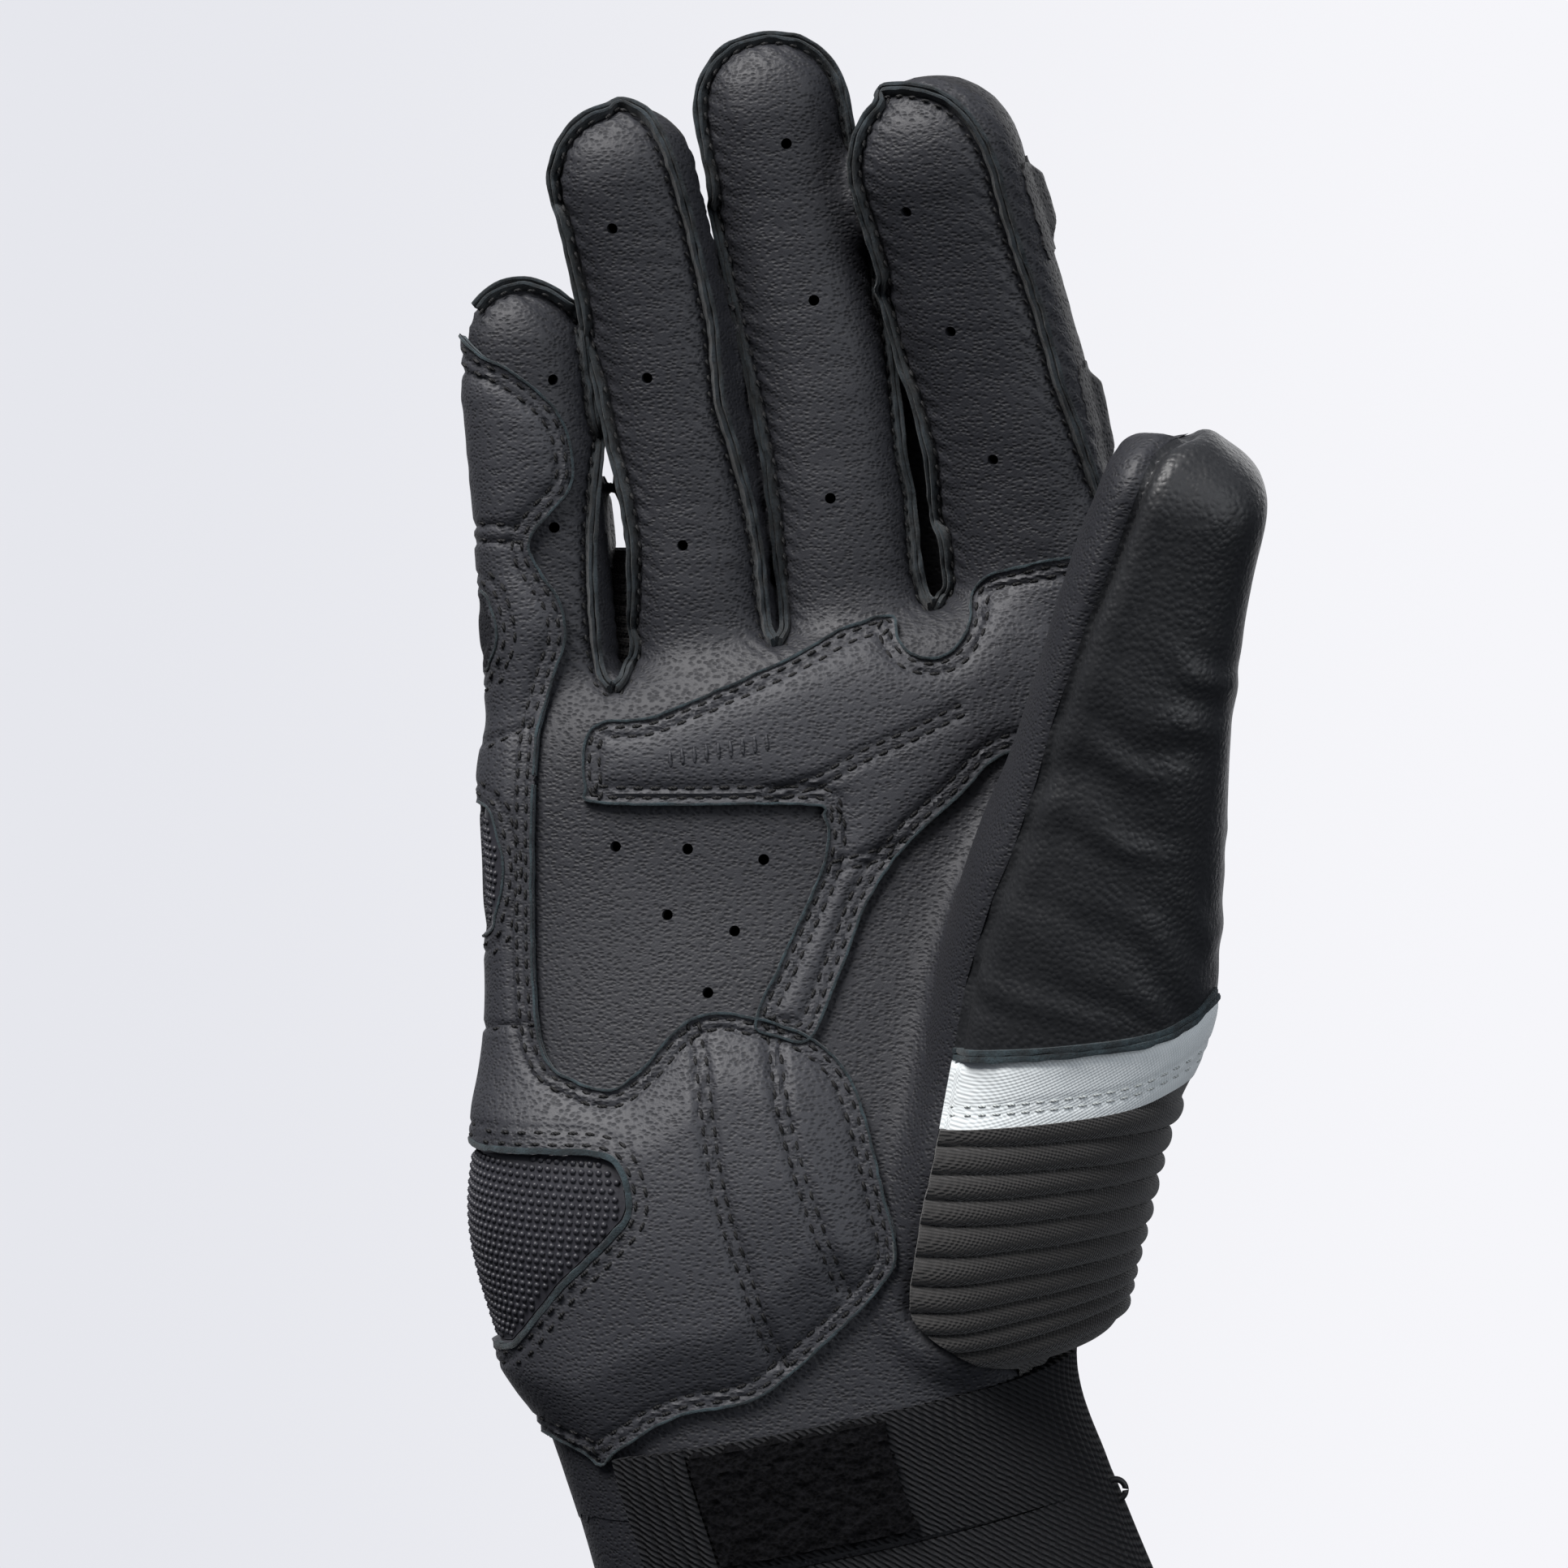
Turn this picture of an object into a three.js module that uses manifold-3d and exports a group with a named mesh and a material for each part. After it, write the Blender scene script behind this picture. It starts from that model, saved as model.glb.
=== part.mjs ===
// A motorcycle glove for the right hand, with its palm forward (-Y) and its fingers up (+Z).
// The little finger is at -X, and the thumb is at +X and reaches forward.
// The origin is the centre of the hem's opening. Lengths are in millimetres, angles in degrees.
import * as THREE from "three";
import { mergeVertices } from "three/addons/utils/BufferGeometryUtils.js";
import Module from "manifold-3d";

const wasm = await Module();
wasm.setup();

// Driving sizes of the hand
const PALM_WIDTH = 98; // across the palm
const PALM_LENGTH = 113; // from the wrist to the crotches of the fingers
const PALM_DEPTH = 44; // front to back at the heel
const WRIST_WIDTH = 75.5;
const WRIST_DEPTH = 50;
const HEM_WIDTH = 87.5;
const HEM_DEPTH = 68;
const CUFF_LENGTH = 75.6; // from the hem to the wrist, along the forearm
const CUFF_LEAN = 17.2; // of the forearm's axis, towards the little finger
const CUFF_TILT = 11; // of the cuff's cross sections, higher on the thumb's side

// Driving sizes of the thumb
const THUMB_LENGTH = 128; // from the bottom of its ribbed base to its tip
const THUMB_WIDTH = 41; // at the base
const THUMB_DEPTH = 44; // at the base
const THUMB_REACH = 47; // how far its tip stands forward of its base
const THUMB_CROWN = 9.5; // height of its rounded tip
const THUMB_FOOT = 6; // height of its rounded bottom

// Leather, webbing and rubber
const LEATHER = 1.8; // wall of the glove's own panels
const OVERLAY = 1.5; // leather sewn on top of them
const GRIP = 1.6; // grip rubber in the overlay's windows
const SEAM_WIDTH = 1.7; // raw edges that stand out of a finger's seam
const SEAM_HEIGHT = 1.9;
const STRAP = 2.2; // webbing
const PATCH = 1.6; // hook and loop patches
const PAD = 2; // pads on the backs of the fingers
const GAP = 0.3; // clearance between neighbours

// The straps: places along the forearm's axis from the hem, and widths
const WRIST_STRAP_UP = 67.6;
const WRIST_STRAP_WIDTH = 20;
const WRIST_STRAP_END = 0.338 * WRIST_WIDTH; // its folded end, to the left of the wrist's centre
const CUFF_STRAP_UP = 37;
const CUFF_STRAP_WIDTH = 34;
const CUFF_STRAP_TILT = 15;
const CUFF_STRAP_END = 0.106 * WRIST_WIDTH; // its left end, to the left of the wrist's centre
const FOLD_LENGTH = 9.5; // doubled webbing at the wrist strap's end
const HOOK_LENGTH = 28;
const HOOK_WIDTH = 17.5;
const UNDER_LENGTH = 13;
const UNDER_WIDTH = 19;
const RING_RADIUS = 1.5; // of the small ring between the straps
const RING_WIRE = 0.5;

// The ribbed panel at the base of the thumb
const RIB_COUNT = 11;
const RIB_HEIGHT = 1.1;

// How finely round shapes are faceted, outside and inside
const HAND_SIDES = 22;
const THUMB_SIDES = 18;
const FINGER_SIDES = 12;
const INNER_SHARE = 0.6;
const ROUND = 2.6; // 2 is an ellipse, more is squarer
const DOME_TURNS = [35, 70];
const SEAM_STEPS = 4;
const FAR = 400; // longer than anything here

// Lengths are shares of the palm's length; widths, depths and bows are shares of its width.
const FINGER_TABLE = [
  // across, up: the root's place. bow: how far the tip bends to the right. tip: its width there.
  // left, right: the shares where the seams start. corners: their turns from the finger's two sides.
  { name: "little", across: -0.382, up: 0.95, length: 0.522, width: 0.192, depth: 0.194, tip: 0.9,
    lean: 2.7, pitch: 3, curl: 10, bow: -0.03, twist: 0, left: 0.79, right: 0.02, corners: [21, 30] },
  { name: "ring", across: -0.153, up: 0.975, length: 0.73, width: 0.214, depth: 0.206, tip: 1,
    lean: 5.4, pitch: 3, curl: 14, bow: -0.0725, twist: 0, left: 0.0, right: 0.03, corners: [21, 42] },
  { name: "middle", across: 0.0716, up: 1.02, length: 0.774, width: 0.213, depth: 0.209, tip: 1.02,
    lean: 8.2, pitch: 1, curl: 12, bow: -0.0275, twist: 0, left: 0.03, right: 0.05, corners: [24, 26] },
  { name: "index", across: 0.349, up: 1.05, length: 0.704, width: 0.265, depth: 0.232, tip: 0.96,
    lean: 8.8, pitch: 8, curl: 15, bow: -0.094, twist: 18, left: 0.05, right: 0.15, corners: [24, 48] },
];
const FINGERS = FINGER_TABLE.map((row) => ({
  ...row,
  length: row.length * PALM_LENGTH,
  width: row.width * PALM_WIDTH,
  depth: row.depth * PALM_WIDTH,
  bow: row.bow * PALM_WIDTH,
}));

// A finger's section at shares of its length, as shares of its width and depth
const FINGER_FORM = [
  { along: -0.32, wide: 0.92, deep: 0.9 },
  { along: 0, wide: 1, deep: 1 },
  { along: 0.4, wide: 1, deep: 0.99 },
  { along: 0.86, wide: 1, deep: 0.92 },
];
const TIP_HEIGHT = 0.5; // of a finger's rounded tip, as a share of its width

// The cuff's sections between the hem (0) and the wrist (1)
const CUFF_FORM = [
  { along: 0, taper: 0 },
  { along: 0.4, taper: 0.55 },
  { along: 0.72, taper: 0.95 },
];

// The palm's sections by their ends, as shares of its width and length, with shares of its depth
const PALM_FORM = [
  { left: -0.448, leftUp: 0.109, right: 0.447, rightUp: 0.235, deep: 1.04, forward: 0.04 },
  { left: -0.489, leftUp: 0.254, right: 0.478, rightUp: 0.378, deep: 1.0, forward: 0.05 },
  { left: -0.468, leftUp: 0.431, right: 0.488, rightUp: 0.545, deep: 0.9, forward: 0.03 },
  { left: -0.478, leftUp: 0.625, right: 0.483, rightUp: 0.735, deep: 0.8, forward: 0 },
  { left: -0.489, leftUp: 0.8, right: 0.488, rightUp: 0.915, deep: 0.76, forward: 0 },
  { left: -0.478, leftUp: 0.87, right: 0.488, rightUp: 1.02, deep: 0.7, forward: 0.01 },
  { left: -0.455, leftUp: 0.905, right: 0.467, rightUp: 1.07, deep: 0.58, forward: 0.02 },
];
const PALM_CROWN = 3.5; // height of the palm's rounded top between the fingers

// The thumb's sections: places as shares of its length and reach, sizes of its width and depth
const THUMB_BASE = { across: 0.29, up: 0.135, forward: 0.24 }; // shares of the palm's sizes
const THUMB_FORM = [
  { up: 0, out: 0, reach: 0, wide: 0.84, deep: 0.84, tilt: 12 },
  { up: 0.11, out: 0.007, reach: 0.06, wide: 0.94, deep: 0.96, tilt: 12 },
  { up: 0.21, out: 0.024, reach: 0.13, wide: 0.97, deep: 1, tilt: 12 },
  { up: 0.31, out: 0.059, reach: 0.21, wide: 1, deep: 1, tilt: 10 },
  { up: 0.41, out: 0.078, reach: 0.32, wide: 0.95, deep: 0.96, tilt: 5 },
  { up: 0.51, out: 0.093, reach: 0.45, wide: 0.86, deep: 0.86, tilt: 0 },
  { up: 0.6, out: 0.112, reach: 0.58, wide: 0.75, deep: 0.74, tilt: -5 },
  { up: 0.7, out: 0.127, reach: 0.71, wide: 0.66, deep: 0.64, tilt: -9 },
  { up: 0.8, out: 0.144, reach: 0.81, wide: 0.61, deep: 0.57, tilt: -12 },
  { up: 0.9, out: 0.172, reach: 0.92, wide: 0.555, deep: 0.53, tilt: -14 },
];

// Where panels meet, seen from the palm's side: shares of the palm's width and length
const THUMB_SEAM = [
  [0.58, 1.27], [0.486, 1.199], [0.455, 1.162], [0.415, 1.066], [0.337, 0.874], [0.26, 0.676],
  [0.21, 0.474], [0.164, 0.271], [0.142, 0.169], [0.142, 0.126], [0.174, 0.102], [0.234, 0.081],
  [0.305, 0.05],
];
const STRIPE_TOP = [[0.1, 0.48], [0.22, 0.468], [0.44, 0.485], [0.53, 0.51], [0.6, 0.56], [0.8, 0.66]];
const STRIPE_FOOT = [[0.1, 0.385], [0.2, 0.383], [0.42, 0.405], [0.52, 0.435], [0.6, 0.475], [0.8, 0.57]];

const OUTER_OUTLINE = [
  [-0.56, 1.39], [-0.484, 1.36], [-0.421, 1.329], [-0.373, 1.287], [-0.352, 1.238],
  [-0.356, 1.19], [-0.415, 1.125], [-0.399, 1.084], [-0.372, 1.049], [-0.363, 0.997],
  [-0.384, 0.94], [-0.406, 0.85], [-0.411, 0.671], [-0.405, 0.527], [-0.39, 0.465],
  [-0.357, 0.44], [-0.295, 0.425], [-0.25, 0.451], [-0.2, 0.5], [-0.149, 0.523],
  [-0.084, 0.518], [-0.018, 0.5], [0.035, 0.468], [0.07, 0.417], [0.1, 0.317], [0.123, 0.221],
  [0.099, 0.177], [0.058, 0.138], [-0.001, 0.09], [-0.083, 0.036], [-0.2, 0.011], [-0.283, -0.035],
  [-0.31, -0.056], [-0.36, -0.034], [-0.56, 0.02],
];
const PALM_OUTLINE = [
  [-0.335, 0.87], [-0.304, 0.893], [-0.239, 0.898], [-0.119, 0.94], [-0.018, 0.981],
  [0.048, 1.014], [0.12, 1.03], [0.13, 1.0], [0.147, 0.981], [0.18, 0.974], [0.21, 0.986],
  [0.232, 1.02], [0.237, 1.056], [0.26, 1.08], [0.311, 1.093], [0.401, 1.105], [0.47, 1.096],
  [0.47, 0.8], [0.303, 0.852], [0.213, 0.79], [0.131, 0.723], [0.081, 0.657], [0.047, 0.58],
  [0.0, 0.49], [-0.048, 0.49], [-0.084, 0.51], [-0.042, 0.595], [0.006, 0.687], [0.023, 0.739],
  [0.015, 0.77], [-0.012, 0.784], [-0.304, 0.785], [-0.335, 0.81],
];
const HEEL_WINDOW = [
  [-0.56, 0.355], [-0.489, 0.342], [-0.381, 0.342], [-0.308, 0.34], [-0.28, 0.322],
  [-0.27, 0.274], [-0.307, 0.233], [-0.368, 0.179], [-0.427, 0.114], [-0.461, 0.095], [-0.56, 0.1],
];
const MID_WINDOW = [
  [-0.56, 0.789], [-0.496, 0.785], [-0.469, 0.742], [-0.459, 0.701], [-0.471, 0.648],
  [-0.491, 0.616], [-0.56, 0.614],
];
const UPPER_WINDOW = [
  [-0.56, 1.064], [-0.498, 1.06], [-0.478, 1.036], [-0.47, 1.004], [-0.481, 0.974],
  [-0.497, 0.959], [-0.56, 0.964],
];
const OVERLAY_BACK = 0.16; // how far the outer overlay wraps behind the middle, of the palm's depth
const WINDOW_BACK = 0.06; // the same for its windows

// Pads on the backs of the fingers: the stretch that each covers, as shares of the finger's length
const PADS = [
  { name: "index_pad_upper", finger: "index", from: 0.64, to: 0.78 },
  { name: "index_pad_lower", finger: "index", from: 0.22, to: 0.4 },
  { name: "little_pad", finger: "little", from: 0.28, to: 0.46 },
];
const PAD_LEVEL = -0.2; // a pad covers what lies behind this share of the half depth

const LOOKS = {
  leather: { color: 0x3a3b3f, roughness: 0.6, metalness: 0 },
  smooth: { color: 0x26282b, roughness: 0.5, metalness: 0 },
  suede: { color: 0x29343a, roughness: 0.95, metalness: 0 },
  fabric: { color: 0xb0b9bb, roughness: 0.85, metalness: 0 },
  ribbed: { color: 0x252423, roughness: 0.9, metalness: 0 },
  webbing: { color: 0x191a1c, roughness: 0.85, metalness: 0 },
  pile: { color: 0x0d0d0f, roughness: 1, metalness: 0 },
  rubber: { color: 0x3d3d41, roughness: 0.75, metalness: 0 },
};

const radians = THREE.MathUtils.degToRad;
const mix = THREE.MathUtils.lerp;
const vector = (x, y, z) => new THREE.Vector3(x, y, z);

// Points of the hand's own plane, y = 0
const forearm = vector(-Math.sin(radians(CUFF_LEAN)), 0, Math.cos(radians(CUFF_LEAN)));
const wrist = forearm.clone().multiplyScalar(CUFF_LENGTH);
const onPalm = (across, up, y = 0) =>
  vector(wrist.x + across * PALM_WIDTH, y, wrist.z + up * PALM_LENGTH);
const tilted = (tilt) => vector(Math.cos(radians(tilt)), 0, Math.sin(radians(tilt)));

// A closed geometry as a solid that can be joined and cut
function solid(geometry) {
  geometry.deleteAttribute("normal");
  geometry.deleteAttribute("uv");
  const merged = mergeVertices(geometry);
  return new wasm.Manifold(
    new wasm.Mesh({
      numProp: 3,
      vertProperties: merged.attributes.position.array,
      triVerts: new Uint32Array(merged.index.array),
    }),
  );
}

const join = (solids) => solids.reduce((whole, next) => whole.add(next));
// The main body of a cut piece, without the empty scraps that two grazing cuts leave
const mainBody = (piece) =>
  piece.decompose().reduce((best, next) => (next.volume() > best.volume() ? next : best));

// Each section gets the directions of its front and of its rise from its neighbours' centres
function framed(sections) {
  return sections.map((section, i) => {
    const before = sections[Math.max(i - 1, 0)].centre;
    const after = sections[Math.min(i + 1, sections.length - 1)].centre;
    const front = section.across.clone().cross(after.clone().sub(before)).normalize();
    return { ...section, front, rise: front.clone().cross(section.across) };
  });
}

// Sections that close an end with a dome of a given height
function dome(end, height) {
  return DOME_TURNS.map((turn) => ({
    ...end,
    centre: end.centre.clone().addScaledVector(end.rise, height * Math.sin(radians(turn))),
    width: end.width * Math.cos(radians(turn)),
    depth: end.depth * Math.cos(radians(turn)),
    level: end.level * Math.cos(radians(turn)),
  }));
}

// A point of a section's rim: turn 0 is the right side, 90 the front. Reach 1 is the rim itself.
function rim(section, turn, reach = 1) {
  const power = 2 / (section.round ?? ROUND);
  const side = Math.sign(Math.cos(turn)) * Math.abs(Math.cos(turn)) ** power;
  const fore = Math.sign(Math.sin(turn)) * Math.abs(Math.sin(turn)) ** power;
  const middle = Math.max(0, (section.depth / 2 + section.level) / 2);
  const deep = reach > 0 ? Math.max((fore * section.depth) / 2, section.level) : middle;
  return section.centre
    .clone()
    .addScaledVector(section.across, (side * reach * section.width) / 2)
    .addScaledVector(section.front, deep);
}

// A cylinder bent to run through sections. Level cuts it flat behind a share of its half depth,
// and a square one has four flat sides round the same sections.
function loft(sections, options) {
  const { grow = 0, crown = 0, foot = 0, mouth = 0, level = -2, clear = 0, square = false } = options;
  const sides = square ? 4 : options.sides;
  const grown = framed(sections).map((section) => ({
    ...section,
    round: square ? FAR : ROUND,
    width: section.width + 2 * grow,
    depth: section.depth + 2 * grow,
    level: (level * section.depth) / 2 - clear,
  }));
  const first = grown[0];
  const last = grown[grown.length - 1];
  if (crown) grown.push(...dome(last, crown + grow));
  if (foot) grown.unshift(...dome(first, -foot - grow).reverse());
  if (mouth) grown.unshift({ ...first, centre: first.centre.clone().addScaledVector(first.rise, -mouth) });
  const steps = grown.length - 1;
  const tube = new THREE.CylinderGeometry(1, 1, steps, sides, steps);
  const spots = tube.attributes.position;
  for (let i = 0; i < spots.count; i++) {
    const section = grown[Math.round(spots.getY(i) + steps / 2)];
    const reach = Math.round(Math.hypot(spots.getX(i), spots.getZ(i)));
    const turn = Math.atan2(spots.getZ(i), spots.getX(i)) + (square ? Math.PI / 4 : 0);
    const point = rim(section, turn, reach);
    spots.setXYZ(i, ...point.toArray());
  }
  return solid(tube);
}

// A flat outline in the palm's plane, carried through from one depth to another
function prism(outline, near = -FAR, far = FAR) {
  const shape = new THREE.Shape(outline.map(([x, z]) => new THREE.Vector2(x, z)));
  const block = new THREE.ExtrudeGeometry(shape, { depth: far - near, bevelEnabled: false });
  return solid(block.rotateX(Math.PI / 2).translate(0, far, 0));
}

// An outline in shares of the palm's sizes, made larger or smaller all round
function outlined(shares, grow = 0) {
  const spots = shares.map(([across, up]) => {
    const point = onPalm(across, up);
    return new THREE.Vector2(point.x, point.z);
  });
  const turn = THREE.ShapeUtils.isClockWise(spots) ? -1 : 1;
  return spots.map((spot, i) => {
    const before = spots[(i + spots.length - 1) % spots.length];
    const after = spots[(i + 1) % spots.length];
    const into = spot.clone().sub(before).normalize();
    const out = after.clone().sub(spot).normalize();
    const bend = into.clone().add(out).normalize();
    const shift = (turn * grow) / Math.max(0.4, bend.dot(into));
    return [spot.x + bend.y * shift, spot.y - bend.x * shift];
  });
}

// Everything between two places along the forearm's axis
function slab(from, to, tilt) {
  const middle = forearm.clone().multiplyScalar((from + to) / 2);
  const block = new THREE.BoxGeometry(FAR, FAR, (to - from) * Math.cos(radians(CUFF_LEAN - tilt)));
  return solid(block.rotateY(-radians(tilt)).translate(middle.x, 0, middle.z));
}

function box(low, high) {
  const size = high.map((value, i) => value - low[i]);
  const middle = high.map((value, i) => (value + low[i]) / 2);
  return solid(new THREE.BoxGeometry(...size).translate(...middle));
}
const rightOf = (x) => box([x, -FAR, -FAR], [FAR, FAR, FAR]);

// The hand from the hem to the crotches
const cuffSections = CUFF_FORM.map(({ along, taper }) => ({
  centre: wrist.clone().multiplyScalar(along),
  across: tilted(CUFF_TILT),
  width: mix(HEM_WIDTH, WRIST_WIDTH, taper),
  depth: mix(HEM_DEPTH, WRIST_DEPTH, taper),
}));
const wristSection = {
  centre: wrist.clone(),
  across: tilted(CUFF_TILT),
  width: WRIST_WIDTH,
  depth: WRIST_DEPTH,
};
const palmSections = PALM_FORM.map((row) => {
  const left = onPalm(row.left, row.leftUp, -row.forward * PALM_DEPTH);
  const right = onPalm(row.right, row.rightUp, -row.forward * PALM_DEPTH);
  return {
    centre: left.clone().add(right).multiplyScalar(0.5),
    across: right.clone().sub(left).normalize(),
    width: right.distanceTo(left),
    depth: row.deep * PALM_DEPTH,
  };
});
const handSections = [...cuffSections, wristSection, ...palmSections];

// The row of the finger's form at any share of its length
function formAt(along) {
  const next = FINGER_FORM.findIndex((row) => row.along > along);
  const [low, high] = FINGER_FORM.slice(next < 0 ? -2 : Math.max(0, next - 1));
  const share = Math.min(1, (along - low.along) / (high.along - low.along));
  return { wide: mix(low.wide, high.wide, share), deep: mix(low.deep, high.deep, share) };
}

// A finger's centre line is an arc that leans to one side and curls forward
function fingerSection(finger, along) {
  const { wide, deep } = formAt(along);
  const tip = mix(1, finger.tip, Math.max(0, Math.min(1, along)));
  const bend = radians(finger.curl);
  const start = radians(finger.pitch);
  const turn = start + bend * along;
  const rise = (finger.length * (Math.sin(turn) - Math.sin(start))) / bend;
  const forward = (finger.length * (Math.cos(start) - Math.cos(turn))) / bend;
  const lean = radians(finger.lean) - (2 * finger.bow * along) / finger.length;
  const upward = vector(-Math.sin(lean), 0, Math.cos(lean));
  const heading = upward.clone().multiplyScalar(Math.cos(turn)).add(vector(0, -Math.sin(turn), 0));
  const side = tilted(finger.lean);
  return {
    centre: onPalm(finger.across, finger.up, -forward)
      .addScaledVector(vector(-side.z, 0, side.x), rise)
      .addScaledVector(side, finger.bow * along ** 2),
    across: vector(upward.z, 0, -upward.x).applyAxisAngle(heading, -radians(finger.twist)),
    width: finger.width * wide * tip,
    depth: finger.depth * deep,
  };
}
const tipHeight = (finger) => TIP_HEIGHT * finger.width;
const tipStart = (finger) => 1 - tipHeight(finger) / finger.length;
const fingerSections = (finger) => {
  const below = FINGER_FORM.map((row) => row.along).filter((along) => along < tipStart(finger) - 0.02);
  return [...below, tipStart(finger)].map((along) => fingerSection(finger, along));
};

const thumbSections = THUMB_FORM.map((row) => {
  const base = onPalm(THUMB_BASE.across, THUMB_BASE.up, -THUMB_BASE.forward * PALM_DEPTH);
  const shift = vector(row.out * THUMB_LENGTH, -row.reach * THUMB_REACH, row.up * THUMB_LENGTH);
  return {
    centre: base.add(shift),
    across: tilted(row.tilt),
    width: row.wide * THUMB_WIDTH,
    depth: row.deep * THUMB_DEPTH,
  };
});

const inner = (sides) => Math.round(sides * INNER_SHARE);
const hand = (grow, options = {}) =>
  loft(handSections, { grow, crown: PALM_CROWN, sides: HAND_SIDES, ...options });
const thumb = (grow, sides = THUMB_SIDES) =>
  loft(thumbSections, { grow, crown: THUMB_CROWN, foot: THUMB_FOOT, sides });
const digit = (finger, grow, options = {}) =>
  loft(fingerSections(finger), { grow, crown: tipHeight(finger), sides: FINGER_SIDES, ...options });
const digits = (grow, options) => join(FINGERS.map((finger) => digit(finger, grow, options)));
const fingered = (grow) => hand(grow).add(digits(grow));

// The hollow inside, which runs out through the hem
const hollow = join([
  hand(-LEATHER, { mouth: LEATHER * 4, sides: inner(HAND_SIDES) }),
  digits(-LEATHER, { sides: inner(FINGER_SIDES) }),
  thumb(-LEATHER, inner(THUMB_SIDES)),
]);

// The panels of the shell: the palm's side, the back, the cuff, and those round the thumb
const FRONT_LEVEL = 0.3; // the seam of a finger's front, as a share of its half depth
const HALF_GAP = GAP / 2;
const fore = (clear) =>
  hand(GAP + clear, { clear, level: 0, square: true }).add(
    digits(GAP + clear, { clear, level: FRONT_LEVEL, square: true }),
  );
const outside = fingered(0).subtract(thumb(GAP)).subtract(hollow);
const cuffBlock = (clear) => slab(-FAR, WRIST_STRAP_UP + clear, CUFF_TILT);
const upper = outside.subtract(cuffBlock(HALF_GAP));
const palmPanel = upper.intersect(fore(-HALF_GAP));
const backPanel = upper.subtract(fore(HALF_GAP));
const cuff = hand(0).subtract(hollow).intersect(cuffBlock(-HALF_GAP));

const thumbShell = thumb(0).subtract(hollow);
const seamLine = (shift) => THUMB_SEAM.map(([across, up]) => [across + shift / PALM_WIDTH, up]);
const pastSeam = (shift) =>
  prism(outlined([...seamLine(shift), [0.305, -0.3], [1, -0.3], [1, 1.5], [0.58, 1.5]]));
const aboveLine = (line, shift) =>
  prism(
    outlined([
      ...line.map(([across, up]) => [across, up + shift / PALM_LENGTH]),
      [1, 0.7],
      [1, 1.5],
      [0.1, 1.5],
    ]),
  );
const thenarPanel = thumbShell.subtract(pastSeam(-HALF_GAP));
const rightShell = thumbShell.intersect(pastSeam(HALF_GAP));
const thumbPanel = rightShell.intersect(aboveLine(STRIPE_TOP, HALF_GAP));
const thumbStripe = rightShell
  .subtract(aboveLine(STRIPE_TOP, -HALF_GAP))
  .intersect(aboveLine(STRIPE_FOOT, HALF_GAP));

// Ribs: the thumb's lower sections repeated closely, every second one standing out
function ribSections() {
  const rows = thumbSections.slice(0, 4);
  const steps = 2 * RIB_COUNT;
  return Array.from({ length: steps + 1 }, (unused, i) => {
    const spot = (i / steps) * (rows.length - 1);
    const row = Math.min(Math.floor(spot), rows.length - 2);
    const [low, high] = [rows[row], rows[row + 1]];
    const proud = i % 2 ? 2 * RIB_HEIGHT : 0;
    return {
      centre: low.centre.clone().lerp(high.centre, spot - row),
      across: low.across.clone().lerp(high.across, spot - row).normalize(),
      width: mix(low.width, high.width, spot - row) + proud,
      depth: mix(low.depth, high.depth, spot - row) + proud,
    };
  });
}
const thumbRibs = loft(ribSections(), { foot: THUMB_FOOT, sides: THUMB_SIDES })
  .subtract(hollow)
  .intersect(pastSeam(HALF_GAP))
  .subtract(aboveLine(STRIPE_FOOT, -HALF_GAP))
  .subtract(hand(GAP));

// Raw edges along a finger's seams: up its left side, round the tip and down its right side
const TIP_TURN = 66; // how far up the rounded tip the seam climbs
function seamStations(finger, past) {
  const end = tipStart(finger);
  const [from, to] = [finger.left, finger.right].map((along) => along - past / finger.length);
  const at = (along, turn, climb) => {
    const [section, next] = framed([
      fingerSection(finger, along),
      fingerSection(finger, along + 0.01),
    ]);
    const edge = rim({ ...section, level: -FAR }, radians(turn)).sub(section.centre);
    const out = edge.clone().normalize().add(section.front).normalize();
    out.multiplyScalar(Math.cos(radians(climb)));
    return {
      centre: section.centre
        .clone()
        .addScaledVector(edge, Math.cos(radians(climb)))
        .addScaledVector(next.rise, tipHeight(finger) * Math.sin(radians(climb))),
      out: out.addScaledVector(next.rise, Math.sin(radians(climb))).normalize(),
    };
  };
  const stations = [];
  const [left, right] = [180 - finger.corners[0], finger.corners[1]];
  for (let i = 0; i < SEAM_STEPS; i++)
    stations.push(at(mix(from, end, i / SEAM_STEPS), left, 0));
  for (let i = 0; i <= 2 * SEAM_STEPS; i++) {
    const share = i / (2 * SEAM_STEPS);
    stations.push(at(end, mix(left, right, share), TIP_TURN * Math.sin(Math.PI * share)));
  }
  for (let i = 1; i <= SEAM_STEPS; i++) stations.push(at(mix(end, to, i / SEAM_STEPS), right, 0));
  return stations;
}

// A box bent to run through stations, standing off the surface by the gap
function strip(stations, width, height, lift) {
  const steps = stations.length - 1;
  const bar = new THREE.BoxGeometry(1, 1, steps, 1, 1, steps);
  const spots = bar.attributes.position;
  for (let i = 0; i < spots.count; i++) {
    const index = Math.round(spots.getZ(i) + steps / 2);
    const before = stations[Math.max(index - 1, 0)].centre;
    const after = stations[Math.min(index + 1, steps)].centre;
    const { centre, out } = stations[index];
    const side = out.clone().cross(after.clone().sub(before)).normalize();
    const point = centre
      .clone()
      .addScaledVector(out, lift + (spots.getY(i) + 0.5) * height)
      .addScaledVector(side, spots.getX(i) * width);
    spots.setXYZ(i, ...point.toArray());
  }
  return solid(bar);
}
const seam = (finger, clear) =>
  strip(seamStations(finger, clear), SEAM_WIDTH + 2 * clear, SEAM_HEIGHT + 2 * clear, -clear);
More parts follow.
